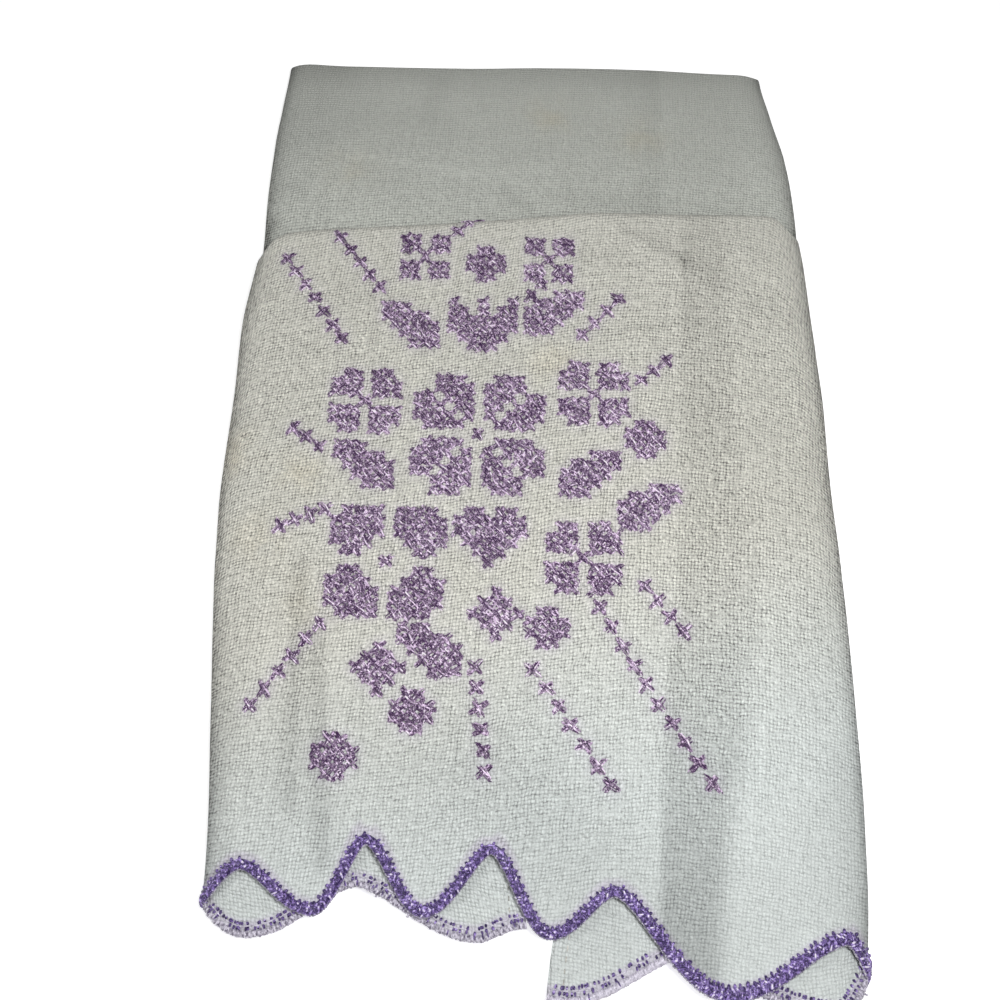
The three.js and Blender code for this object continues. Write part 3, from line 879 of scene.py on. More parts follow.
# Painted shade of the back panel.
LINEN_BACK_PAINTED_SHADE = (0.74, 0.76, 0.70, 1)
STAIN = (0.80, 0.70, 0.48, 1)
LILAC_TINT = (0.74, 0.66, 0.82, 1)
DRIFT_SCALE, DRIFT, LEAN_OF_COOLNESS, COOL_FROM, COOL_TO = 9.0, 0.03, 0.25, 0.05, 0.14
STAIN_SCALE, STAIN_NOISE, STAIN_STRENGTH = 120.0, (0.35, 0.65), (0.3, 1.5)
TINT_AT_CROSSES, TINT_AT_HEM, TINT_ENDS = 0.45, 0.55, (3.2, 5.4)


def yarn_colour(tree, place, where):
    """Warm linen, with painted cool light towards the hem and painted shade behind, with its stains and the
    lilac cast beside the stitches.
    """
    down = maths(tree, "SUBTRACT", maths(tree, "MULTIPLY", where[0], LEAN_OF_COOLNESS), where[1])
    drifting = maths(tree, "MULTIPLY_ADD", noise(tree, place, DRIFT_SCALE), DRIFT, down)
    painted_cool_light = remap(tree, drifting, COOL_FROM, COOL_TO, 0.0, 1.0, smooth=True)
    # Cooler towards the hem: painted cool light.
    yarn = mixed(tree, painted_cool_light, LINEN_WARM, LINEN_PAINTED_COOL_LIGHT)
    # Greyer past the first fold: painted shade of the back panel.
    yarn = mixed(tree, attribute(tree, "behind"), yarn, LINEN_BACK_PAINTED_SHADE)
    patchy = remap(tree, noise(tree, place, STAIN_SCALE), *STAIN_NOISE, *STAIN_STRENGTH)
    yarn = mixed(tree, maths(tree, "MULTIPLY", attribute(tree, "stain"), patchy), yarn, STAIN)
    at_crosses = maths(tree, "MULTIPLY", attribute(tree, "near_stitches"), TINT_AT_CROSSES)
    at_hem = remap(tree, attribute(tree, "inside_hem"), *TINT_ENDS, TINT_AT_HEM, 0.0, smooth=True)
    return mixed(tree, maths(tree, "MAXIMUM", at_crosses, at_hem), yarn, LILAC_TINT)

# %% How strongly the weave shows, and the linen itself
WEAVE_CONTRAST = 0.85
FAR_CONTRAST = (0.05, 0.16, 1.0, 0.2)
NEAR_CONTRAST = (-0.15, -0.04, 0.52, 1.0)
NEAR_RIGHT_CONTRAST, NEAR_RIGHT_LEAN = (-0.19, -0.11, 0.75, 1.0), -0.7
MOTTLE_SCALE, MOTTLE_DETAIL, MOTTLE = 0.45, 3.0, 0.12
MIDDLE_VALUE, PAINTED_FOLD_SHADE_STRENGTH = 0.84, 0.16
DARKEST, BRIGHTEST = 0.12, 1.15


def weave_contrast(tree, where):
    """1 in the middle of the front, less at the back and towards the near edge."""
    near_right = maths(tree, "MULTIPLY_ADD", where[0], NEAR_RIGHT_LEAN, where[1])
    near = maths(tree, "MULTIPLY", remap(tree, where[1], *NEAR_CONTRAST),
                 remap(tree, near_right, *NEAR_RIGHT_CONTRAST))
    return maths(tree, "MULTIPLY", remap(tree, where[1], *FAR_CONTRAST), near)


def linen_material():
    material, tree = new_material("plain_woven_linen")
    uv = node(tree, "ShaderNodeUVMap", uv_map="threads").outputs[0]
    place = node(tree, "ShaderNodeTexCoord").outputs["Object"]
    where = axes(tree, place)
    height, light = weave(tree, uv)
    light = maths(tree, "ADD", light, swing(tree, noise(tree, uv, MOTTLE_SCALE, MOTTLE_DETAIL), MOTTLE))
    contrast = maths(tree, "MULTIPLY", weave_contrast(tree, where), WEAVE_CONTRAST)
    value = maths(tree, "MULTIPLY_ADD", light, contrast, MIDDLE_VALUE)
    # Painted shade from the folds, the sides and the slopes darkens the linen.
    value = maths(tree, "MULTIPLY_ADD", attribute(tree, "painted_fold_shade"), -PAINTED_FOLD_SHADE_STRENGTH, value)
    value = maths(tree, "MINIMUM", maths(tree, "MAXIMUM", value, DARKEST), BRIGHTEST)
    grey = node(tree, "ShaderNodeCombineColor", {0: value, 1: value, 2: value}).outputs[0]
    colour = mixed(tree, 1.0, yarn_colour(tree, place, where), grey, blend="MULTIPLY")
    fuzzy_surface(tree, colour, height, bump_strength=0.6, bump_depth=0.3 * MM, roughness=0.9, gloss=0.2,
                  fuzz_roughness=0.5)
    return material


linen.data.materials.append(linen_material())
print("nodes in the linen's material:", len(linen.data.materials[0].node_tree.nodes))

# %% [markdown]
# Stitches are threads that dive into the cloth, run over it and dive in again. Each is drawn here as
# a bevelled curve: Blender sweeps a small ring along the points, narrower where the thread enters the
# cloth. Hundreds of them make one mesh. Two attributes go with the strands. "shade" is the strand's own
# tone, because a hand-dyed thread is never one even colour. It also holds painted light: painted shade
# where the strand dives into the cloth, and pale strands as painted highlights. "run" is the distance along
# the strand, on which the material lays painted highlights and painted shade as flecks.

# %% Strands from lists of points
RING = 6
STRANDS_APART = 37.7
CLOSER_THAN = 1e-7


def strand_curve(name, strands, radii):
    """A mesh of rings swept along each strand, with capped ends."""
    curve = bpy.data.curves.new(name, "CURVE")
    curve.dimensions = "3D"
    curve.bevel_depth = 1.0
    curve.bevel_resolution = 1
    curve.use_fill_caps = True
    for points, radius in zip(strands, radii):
        spline = curve.splines.new("POLY")
        spline.points.add(len(points) - 1)
        spline.points.foreach_set("co", np.column_stack([points, np.ones(len(points))]).ravel())
        spline.points.foreach_set("radius", np.asarray(radius, np.float32))
    holder = new_object(name, curve)
    made = bpy.data.meshes.new_from_object(holder)
    bpy.data.objects.remove(holder)
    bpy.data.curves.remove(curve)
    made.name = name
    return made


def runs_along(strands):
    """Distance along each strand in millimetres; each strand starts further on than the one before."""
    runs = []
    for n, points in enumerate(strands):
        steps = np.linalg.norm(np.diff(points, axis=0), axis=1) / MM
        runs.append(n * STRANDS_APART + np.concatenate([[0], np.cumsum(steps)]))
    return runs


def keep_on_rings(made, name, columns):
    """An attribute with one value for each ring; the two caps come last and have rings of their own."""
    rings = [np.repeat([*values, values[0], values[-1]], RING) for values in columns]
    layer = made.attributes.new(name, "FLOAT", "POINT")
    layer.data.foreach_set("value", np.concatenate(rings).astype(np.float32))


def strand_mesh(name, strands, radii, shades):
    """One piece of many strands: points in metres, with a radius and a shade for each point."""
    made = strand_curve(name, strands, radii)
    keep_on_rings(made, "shade", shades)
    keep_on_rings(made, "run", runs_along(strands))
    closed = bmesh.new()
    closed.from_mesh(made)
    bmesh.ops.remove_doubles(closed, verts=closed.verts, dist=CLOSER_THAN)
    open_edges = sum(edge.is_boundary for edge in closed.edges)
    closed.to_mesh(made)
    closed.free()
    made.polygons.foreach_set("use_smooth", np.ones(len(made.polygons), bool))
    triangles = sum(len(face.vertices) - 2 for face in made.polygons)
    print(f"{name}: {len(strands)} strands, {triangles} triangles, {open_edges} open edges")
    return new_object(name, made)

# %% Thread: a soft gloss, each strand's own shade, and flecks of painted highlight and shade
FLECKS_PER_MM = 0.75
FIBRE_SCALE, FIBRE_DETAIL, FIBRES = 1700.0, 1.5, 0.3
PLIES_ROUND, TURNS_ALONG, PLY = 8.0, 2.0, 0.1
# Painted highlight: the palest flecks are mixed towards white.
PAINTED_HIGHLIGHT, PAINTED_HIGHLIGHT_FROM, PAINTED_HIGHLIGHT_TO = (1.0, 0.95, 1.0, 1), 0.85, 1.4


def wound_fibres(tree):
    """Fine fibres, and the plies that wind round the strand by its own UV map."""
    place = node(tree, "ShaderNodeTexCoord").outputs["Object"]
    wound = axes(tree, node(tree, "ShaderNodeUVMap", uv_map="UVMap").outputs[0])
    along = maths(tree, "MULTIPLY", wound[0], TURNS_ALONG)
    turn = maths(tree, "MULTIPLY_ADD", wound[1], PLIES_ROUND, along)
    ply = maths(tree, "SINE", maths(tree, "MULTIPLY", turn, 2 * math.pi))
    return maths(tree, "MULTIPLY_ADD", ply, PLY, noise(tree, place, FIBRE_SCALE, FIBRE_DETAIL))


def thread_material(name, deep, pale, contrast, painted_highlight_strength):
    """Mercerised cotton from a deep to a pale colour, with flecks of painted light and shade along it; the
    brightest flecks get a painted highlight, nearly white.
    """
    material, tree = new_material(name)
    fibres = wound_fibres(tree)
    inputs = {"Scale": FLECKS_PER_MM, "Detail": 1.0, "W": attribute(tree, "run")}
    painted_light_flecks = node(tree, "ShaderNodeTexNoise", inputs, noise_dimensions="1D").outputs["Fac"]
    share = maths(tree, "ADD", attribute(tree, "shade"), swing(tree, painted_light_flecks, contrast))
    share = maths(tree, "ADD", share, swing(tree, fibres, FIBRES))
    # The palest flecks get a painted highlight, nearly white.
    painted_highlight_share = remap(tree, share, PAINTED_HIGHLIGHT_FROM, PAINTED_HIGHLIGHT_TO, 0.0, painted_highlight_strength)
    colour = mixed(tree, painted_highlight_share, mixed(tree, share, deep, pale), PAINTED_HIGHLIGHT)
    fuzzy_surface(tree, colour, fibres, bump_strength=0.5, bump_depth=0.08 * MM, roughness=0.33, gloss=0.6,
                  fuzz_roughness=0.4)
    return material

# %% [markdown]
# The scalloped edge is a dense round cord of mauve thread. Every stitch of it is placed by two numbers:
# the distance along the cut edge, and the distance inside it, square to the edge. So the stitches fan
# out round a lobe and crowd in a notch, as they do under a needle.

# %% The line of the scalloped edge
EDGE_STEP, SMOOTHED_OVER = 0.2, 13
CLEAR_OF_SIDES = 0.3

edge_across = np.arange(0, WIDTH_AT_SCALLOPS + EDGE_STEP / 20, EDGE_STEP)
edge_y = hem_edge(edge_across)
edge_run = np.concatenate([[0], np.cumsum(np.hypot(np.diff(edge_across), np.diff(edge_y)))])
slope = np.gradient(edge_y, edge_across)
square_to_edge = np.pad(-slope / np.hypot(1, slope), SMOOTHED_OVER // 2, "edge")
inward_across = np.convolve(square_to_edge, np.ones(SMOOTHED_OVER) / SMOOTHED_OVER, "valid")
inward_y = np.sqrt(1 - inward_across**2)
EDGE_LENGTH = edge_run[-1]


def beside_edge(run, inside):
    """Place across and y at a distance along the edge and square to it."""
    place = np.interp(run, edge_run, edge_across) + inside * np.interp(run, edge_run, inward_across)
    return place, np.interp(run, edge_run, edge_y) + inside * np.interp(run, edge_run, inward_y)


def on_hem(run, inside, lift):
    """Points at a distance along the edge, inside it and over the right side of the cloth."""
    place, y = beside_edge(run, inside)
    middle, out, _ = hem_points(np.clip(place, CLEAR_OF_SIDES, WIDTH_AT_SCALLOPS - CLEAR_OF_SIDES), y)
    return in_frame(middle + out * (CLOTH_THICKNESS / 2 + lift)[..., None])


print(f"the scalloped edge is {EDGE_LENGTH:.0f} mm long")

# %% [markdown]
# A few padding threads are laid along the edge, and two rows of short slanting stitches cover them, so
# that the top looks like a braid full of painted light and dark flecks. Every two millimetres one stitch
# reaches further in and shows as a dark tick. One function lays a whole row from a small table of one
# stitch's points, and gives each stitch its own size, slant and shade, because no hand sews two alike.

# %% Rows of stitches along the edge, none quite like the next
CORD_BROADENS, CORD_WIDTHS = (205, 235), (0.86, 1.08)
ROOM_SHARE, ROOM_SPARE, ROOM_FROM = 0.45, 0.3, 0.5
SCALE_SPREAD, TILT_SPREAD, SHIFT_SPREAD = 0.07, 0.12, 0.1
THICKNESSES = (0.8, 1.15)
LIGHTEST_SHADE = 1.2
dice = np.random.default_rng(7)


def cord_width(run):
    """The cord is broader on the large scallops at the right."""
    return np.interp(np.interp(run, edge_run, edge_across), CORD_BROADENS, CORD_WIDTHS)


def room_at(run, inside):
    """Where the part of a stitch that lies well inside the edge is on its own side of a notch."""
    place, y = beside_edge(run, inside)
    return ((y - hem_edge(place) > ROOM_SHARE * inside - ROOM_SPARE) | (inside < ROOM_FROM)).all(axis=1)


def stitches_along(shape, pitch, radius, tone, kept=1.0, jitter=0.1):
    """A row of like stitches on the hem. The shape's columns are how far along, how far inside, the
    lift, the share of the radius and the shade's change at each point, which is painted shade where the
    stitch dives into the cloth and a painted highlight over its crown; tone picks each one's shade."""
    along, inside, lift, thick, painted_shading_change = np.array(shape, float).T
    runs = np.arange(0.5 * pitch, EDGE_LENGTH - 0.5 * pitch, pitch)
    runs = runs[dice.random(len(runs)) < kept]
    runs = runs + dice.normal(0, jitter * pitch, len(runs))
    scale = dice.normal(1, SCALE_SPREAD, len(runs))[:, None]
    tilt = dice.normal(0, TILT_SPREAD, len(runs))[:, None]
    shift = dice.normal(0, SHIFT_SPREAD, len(runs))[:, None]
    run = runs[:, None] + along * scale + tilt * inside
    inside = inside * cord_width(run)
    fits = room_at(run, inside)
    points = on_hem(run, inside + shift, lift * scale)
    radii = radius * MM * thick * dice.uniform(*THICKNESSES, len(runs))[:, None]
    shades = np.clip(tone(len(runs))[:, None] + painted_shading_change, 0, LIGHTEST_SHADE)
    return points[fits], radii[fits], shades[fits]


def joined(*groups):
    """Several lists of strands as one."""
    return tuple([entry for group in groups for entry in group[n]] for n in range(3))

# %% Padding threads and the two rows of slanting stitches
PADDING = ((0.3, 0.0), (0.9, 0.16), (1.5, 0.22), (2.1, 0.16), (2.6, 0.0))
PADDING_STEP, PADDING_PIECES, PADDING_ENDS = 0.8, 24, 0.4
PADDING_RADIUS, PADDING_SHADES = 0.42, (0.05, 0.3)
MIDDLE_SHADES = (0.54, 0.16)
DARK_BELOW, DARK_SHADES = 0.2, (0.0, 0.2)
BRIGHT_ABOVE, BRIGHT_SHADES = 0.78, (0.75, 1.1)
TICK_SHADES = (0.0, 0.3)
INNER_STITCH = (
    (-0.7, 3.05, -0.3, 0.7, -0.6), (-0.45, 2.8, 0.3, 1, -0.2), (-0.1, 2.35, 0.6, 1.1, 0.2),
    (0.3, 1.9, 0.72, 1, 0.1), (0.6, 1.5, 0.45, 0.7, -0.6),
)
OUTER_STITCH = (
    (0.6, 1.85, 0.45, 0.7, -0.6), (0.35, 1.4, 0.74, 1, 0.1), (0.0, 0.8, 0.64, 1.1, 0.2),
    (-0.35, 0.2, 0.3, 1, -0.2), (-0.55, -0.15, -0.25, 0.8, -0.5),
)
INNER_TICK = (
    (0.0, 2.9, 0.2, 0.9, 0), (0.05, 3.15, 0.34, 1.15, 0), (0.1, 3.5, 0.3, 1.15, 0), (0.1, 3.8, -0.3, 0.8, 0),
)


def padding_threads():
    """Threads that follow the edge under the stitches, each in a few pieces."""
    strands, radii, shades = [], [], []
    run = np.arange(PADDING_ENDS, EDGE_LENGTH - PADDING_ENDS, PADDING_STEP)
    for inside, lift in PADDING:
        for piece in np.array_split(run, PADDING_PIECES):
            piece = np.append(piece, piece[-1] + PADDING_STEP)
            strands.append(on_hem(piece, inside * cord_width(piece), np.full(len(piece), lift)))
            radii.append(np.full(len(piece), PADDING_RADIUS * MM))
            shades.append(np.full(len(piece), dice.uniform(*PADDING_SHADES)))
    return strands, radii, shades


def flecked(count):
    """Shades of a glossy thread: most in the middle, some dark and some pale, partly the dye's own
    unevenness and partly painted shade and painted highlights.
    """
    shades = dice.normal(*MIDDLE_SHADES, count)
    pick = dice.random(count)
    shades = np.where(pick < DARK_BELOW, dice.uniform(*DARK_SHADES, count), shades)
    return np.where(pick > BRIGHT_ABOVE, dice.uniform(*BRIGHT_SHADES, count), shades)


def mostly_dark(count):
    return dice.uniform(*TICK_SHADES, count)


cord_rows = joined(
    stitches_along(INNER_STITCH, pitch=0.62, radius=0.28, tone=flecked),
    stitches_along(OUTER_STITCH, pitch=0.62, radius=0.28, tone=flecked),
    stitches_along(INNER_TICK, pitch=1.75, radius=0.4, tone=mostly_dark),
)
print(f"{len(cord_rows[0])} stitches on the right side of the hem")

# %% [markdown]
# The wrong side shows on the flaps under the notches. There the thread wraps the edge as a pale lip, and
# comes through the cloth as short dark bars beside a pale line. These are rows too, with the lift below
# the cloth instead of over it.

# %% What shows of the stitches on the wrong side
PALE_SHADES = (0.75, 1.05)
UNDER = -CLOTH_THICKNESS
# The last column darkens the lip where it turns round the cut edge: a painted shade that draws its outline.
LIP_WRAP = (
    (0.0, -0.1, -0.3, 0.8, -0.7), (0.05, -0.25, -0.55, 1, -0.8), (0.1, 0.25, UNDER - 0.12, 1, -0.35),
    (0.15, 0.9, UNDER - 0.16, 1, 0), (0.2, 1.6, UNDER + 0.15, 0.7, -0.1),
)
INNER_BAR = (
    (0.0, 4.4, UNDER + 0.2, 0.7, 0), (0.0, 4.2, UNDER - 0.2, 1, 0), (0.05, 3.7, UNDER - 0.2, 1, 0),
    (0.05, 3.5, UNDER + 0.2, 0.7, 0),
)
LINE_STITCH = (
    (-1.0, 3.1, UNDER + 0.2, 0.7, -0.1), (-0.6, 3.1, UNDER - 0.22, 1, 0), (0.6, 3.1, UNDER - 0.22, 1, 0),
    (1.0, 3.1, UNDER + 0.2, 0.7, -0.1),
)
OUTER_BAR = (
    (0.0, 2.75, UNDER + 0.2, 0.7, 0), (0.0, 2.6, UNDER - 0.26, 1, 0), (0.05, 2.0, UNDER - 0.26, 1, 0),
    (0.05, 1.8, UNDER + 0.2, 0.7, 0),
)
LONG_BAR = (
    (0.0, 2.0, UNDER + 0.2, 0.7, 0), (0.0, 1.4, UNDER - 0.4, 1, 0), (0.0, 0.6, UNDER - 0.38, 1, 0),
    (0.0, 0.1, UNDER, 0.7, 0),
)


def pale(count):
    return dice.uniform(*PALE_SHADES, count)


lip_rows = joined(
    stitches_along(LIP_WRAP, pitch=0.42, radius=0.36, tone=pale),
    stitches_along(LINE_STITCH, pitch=1.9, radius=0.22, tone=pale, kept=0.9, jitter=0.06),
)
wrong_side_rows = joined(
    stitches_along(INNER_BAR, pitch=1.05, radius=0.36, tone=mostly_dark, kept=0.85, jitter=0.2),
    stitches_along(OUTER_BAR, pitch=1.3, radius=0.38, tone=mostly_dark, kept=0.8, jitter=0.2),
    stitches_along(LONG_BAR, pitch=2.4, radius=0.26, tone=mostly_dark, kept=0.25),
)
print(f"{len(lip_rows[0])} pale and {len(wrong_side_rows[0])} dark stitches on its wrong side")

# %% The pieces of the stitched edge
hem_thread = thread_material(
    "hem_thread", deep=(0.032, 0.015, 0.09, 1), pale=(0.45, 0.31, 0.80, 1), contrast=0.75, painted_highlight_strength=0.8,
)
lip_thread = thread_material(
    "lip_thread", deep=(0.13, 0.11, 0.17, 1), pale=(0.79, 0.75, 0.86, 1), contrast=0.2, painted_highlight_strength=0.1,
)
stitched_edge = [
    strand_mesh("hem_padding", *padding_threads()),
    strand_mesh("hem_stitches", *cord_rows),
    strand_mesh("hem_wrong_side", *wrong_side_rows),
]
for piece in stitched_edge:
    piece.data.materials.append(hem_thread)
lip = strand_mesh("hem_lip", *lip_rows)
lip.data.materials.append(lip_thread)
stitched_edge.append(lip)

# %% [markdown]
# The long edges of the towel are turned in and held by a running stitch: the thread goes over and
# under the cloth by turns. Most of it is hidden in the folds, and a little shows on the wrong side of
# the right flap. The same strands serve, this time along a line that follows every fold.

# %% Running stitch along the turned long edges
SIDE_HEM_TURN, LAST_TURN = 0.05, 5
SAMPLES_PER_ROW = 3
RUNNING_PITCH, RUNNING_STITCH, RUNNING_RADIUS = 3.0, 1.7, 0.2
RUNNING_SHARE = np.array([0, 0.15, 0.5, 0.85, 1])
RUNNING_LIFT = np.array([-0.3, 0.08, 0.14, 0.08, -0.3])
LEG_THICKNESS = np.array([0.6, 1.0, 1.08, 1.0, 0.6])
LOWEST_STITCH = 0.22
STITCH_LENGTHS, RUNNING_SHADES = (0.85, 1.1), (0.1, 0.9)


def long_edge(turn):
    """A line just inside one long edge, from the scallops to the plain end, with the way out."""
    found = []
    for stretch, cells in ROW_CELLS.items():
        samples = SAMPLES_PER_ROW * cells
        found.append(cloth_points(stretch, np.arange(samples) / samples, turn))
    middle, out = (np.concatenate([part[n] for part in found]) for n in range(2))
    run = np.concatenate([[0], np.cumsum(np.linalg.norm(np.diff(middle, axis=0), axis=1))])
    return middle, out, run


def points_along(places, run, columns):
    """Points at some distances along a line of points."""
    return np.stack([np.interp(places, run, columns[:, n]) for n in range(3)], -1)


def running_stitches(turn):
    """Stitches on the right side of the cloth, and between them the ones on its wrong side."""
    strands, radii, shades = [], [], []
    middle, out, run = long_edge(turn)
    starts = np.arange(RUNNING_PITCH, run[-1] - RUNNING_PITCH, RUNNING_PITCH)
    for side, offset in ((1, 0), (-1, RUNNING_PITCH / 2)):
        for start in starts + offset:
            places = start + RUNNING_SHARE * RUNNING_STITCH * dice.uniform(*STITCH_LENGTHS)
            line, away = points_along(places, run, middle), points_along(places, run, out)
            points = line + side * away * (CLOTH_THICKNESS / 2 + RUNNING_LIFT)[:, None]
            points[:, 2] = np.maximum(points[:, 2], LOWEST_STITCH)
            strands.append(in_frame(points))
            radii.append(RUNNING_RADIUS * MM * LEG_THICKNESS)
            shades.append(dice.uniform(*RUNNING_SHADES) + 0 * RUNNING_SHARE)
    return strands, radii, shades


both_edges = joined(running_stitches(SIDE_HEM_TURN), running_stitches(LAST_TURN - SIDE_HEM_TURN))
side_hems = strand_mesh("side_hem_stitches", *both_edges)
side_hems.data.materials.append(thread_material(
    "sewing_thread", deep=(0.30, 0.30, 0.28, 1), pale=(0.72, 0.70, 0.64, 1), contrast=0.4, painted_highlight_strength=0.2,
))
stitched_edge.append(side_hems)

# %% [markdown]
# The spray on the front is charted here as such work is on paper: a letter for each cross. The motifs
# are the plain ones of traditional cross-stitch: an eight-petalled star, a dogwood and other blossoms,
# a heart, a tulip, leaves, buds and diamonds. Trails of single crosses run out from them.

# %% Motifs, one letter to a cross
STAR = (
    "..xxx...xxx..", "..xxxx.xxxx..", "xx.xxx.xxx.xx", "xxx.xx.xx.xxx", "xxxx.x.x.xxxx", ".xxxx...xxxx.",
    "......x......",
    ".xxxx...xxxx.", "xxxx.x.x.xxxx", "xxx.xx.xx.xxx", "xx.xxx.xxx.xx", "..xxxx.xxxx..", "..xxx...xxx..",
)
DOGWOOD = (
    ".xxxx.xxxx.", "xxxxx.xxxxx", "xxxxx.xxxxx", "xxxx...xxxx", ".xx.....xx.", ".....x.....",
    ".xx.....xx.", "xxxx...xxxx", "xxxxx.xxxxx", "xxxxx.xxxxx", ".xxxx.xxxx.",
)
SMALL_BLOSSOM = ("xx.xx", "xx.xx", "..x..", "xx.xx", "xx.xx")
BLOSSOM = (".xx.xx.", "xxx.xxx", "xxx.xxx", "...x...", "xxx.xxx", "xxx.xxx", ".xx.xx.")
HEART = (".xx.xx.", "xxxxxxx", "xxxxxxx", ".xxxxx.", "..xxx..", "...x...")
LEAF = ("xxx...", "xxxxx.", ".xxxxx", "..xxxx", "...xxx")
LEAF_OTHER_WAY = tuple(row[::-1] for row in LEAF)
TULIP = ("x..x..x", "xx.x.xx", "xxxxxxx", "xxxxxxx", ".xxxxx.", "..xxx..")
BUD = (".xx.", "xxxx", "xxxx", ".xx.")
DIAMOND = ("..x..", ".xxx.", "xxxxx", ".xxx.", "..x..")
FLOWERS = {
    "motif": (STAR, DOGWOOD, BLOSSOM, BLOSSOM, BLOSSOM, HEART, TULIP, SMALL_BLOSSOM, SMALL_BLOSSOM),
    "x": (-8, -35, -46, 30, 27, -3, -8, 14, -29), "y": (22, -23, 33, 38, -20, -14, 63, 88, 88),
}
LEAVES = {
    "motif": (LEAF, LEAF_OTHER_WAY, LEAF, LEAF_OTHER_WAY, LEAF_OTHER_WAY, LEAF, DIAMOND, BUD, DIAMOND,
              BUD, BUD, BUD, BUD),
    "x": (-45, 29, -33, 16, 48, -20, 0, 16, -35, -24, -46, -8, 47),
    "y": (10, 9, 62, 68, -2, -51, -39, -43, -57, -70, -84, 86, 22),
}
TRAILS = {
    "x": (-56, -44, -60, -56, -54, 46, 26, 32, 12, 46, -6, 8, -18),
    "y": (56, 76, 16, -6, -44, 44, 60, -36, -56, -28, -56, 74, 98),
    "step_x": (-3.5, -3.8, -4.3, -4.4, -3.7, 4.2, 4.0, 3.6, 3.9, 4.0, 0.9, 3.4, 3.2),
    "step_y": (5.0, 4.6, 3.0, -2.2, -5.2, 3.6, 4.6, -5.8, -5.6, -4.8, -6.2, 4.4, 4.0),
    "count": (7, 5, 3, 4, 6, 3, 4, 10, 7, 4, 6, 2, 3),
}
CROSS_PITCH = 3.35
SIZE_IN_MOTIF, SIZE_IN_TRAIL = 3.9, 4.7


def charted(places):
    """Middle and size of each cross of some motifs, in millimetres on the front panel."""
    found = []
    for motif, x, y in zip(*places.values()):
        for row, letters in enumerate(motif):
            for column, letter in enumerate(letters):
                if letter == "x":
                    found.append((x + (column - (len(letters) - 1) / 2) * CROSS_PITCH,
                                  y - (row - (len(motif) - 1) / 2) * CROSS_PITCH, SIZE_IN_MOTIF))
    return found


def trails():
    return [(x + n * step_x, y + n * step_y, SIZE_IN_TRAIL)
            for x, y, step_x, step_y, count in zip(*TRAILS.values()) for n in range(count)]


flower_crosses = charted(FLOWERS)
leaf_crosses = charted(LEAVES) + trails()
print(f"{len(flower_crosses)} crosses in flowers, {len(leaf_crosses)} in leaves and trails")

# %% [markdown]
# A cross is two legs of loose embroidery floss, the second over the first. The floss lies as a few
# separate strands, with painted shade where they dive into the cloth and a painted highlight where they
# turn to the light. No cross is quite like its neighbour: each gets its own turn, size and shade.

# %% Places over the front panel
def on_front(x, y, lift):
    """Points over the front panel; a y past the first fold's turn runs on round the fold."""
    left, width = strip_at(FRONT_SIDES, y)
    turn = 2 + np.clip((x - left - SIDE_RADIUS) / (width - 2 * SIDE_RADIUS), 0, JUST_BELOW_ONE)
    radius, centre, _ = first_turn((x - left) / width, x)
    panel = cloth_points("front", (y - SCALLOPS_START) / (centre - SCALLOPS_START), turn)
    fold = cloth_points("first_fold", np.clip((y - centre) / (math.pi * radius), 0, 1), turn)
    past = (y > centre)[..., None]
    middle, out = (np.where(past, fold[n], panel[n]) for n in range(2))
    return middle + out * (CLOTH_THICKNESS / 2 + lift)[..., None]

# %% The strands of each cross
LEG_SHARE = np.array([0, 0.14, 0.5, 0.86, 1])
UNDER_LIFT = np.array([-0.35, 0.22, 0.36, 0.22, -0.35])
OVER_LIFT = np.array([-0.35, 0.3, 0.85, 0.3, -0.35])
LEG_SPREAD = np.array([0.4, 0.85, 1.1, 0.85, 0.4])
# Painted shade at the ends of a leg, where it dives into the cloth, and a painted highlight over its middle.
LEG_SHADE = np.array([-0.75, -0.3, 0.2, -0.3, -0.75])
STRANDS_IN_LEG = 4
STRAND_GAP, STRAND_RADIUS = 0.42, 0.24
STRAND_SPREAD, LIFT_SPREAD = 0.16, 0.1
CROSS_TURN_SPREAD, LEG_TURN_SPREAD = 0.08, 0.12
LEG_SHIFT_SPREAD, LEG_LENGTH_SPREAD = 0.2, 0.09
DARK_LEGS, DARK_LEG_SHADES = 0.14, (-0.15, 0.15)
PALE_PART, PALE_PLACE, PALE_REACH = 0.3, (15, -32), 30


def leg_shades(centre):
    """Shades of one leg's strands: flecked, paler near one place, and now and then all dark."""
    tones = flecked(STRANDS_IN_LEG) + PALE_PART * math.exp(-math.dist(centre, PALE_PLACE) / PALE_REACH)
    if dice.random() < DARK_LEGS:
        tones = dice.uniform(*DARK_LEG_SHADES, STRANDS_IN_LEG)
    return tones


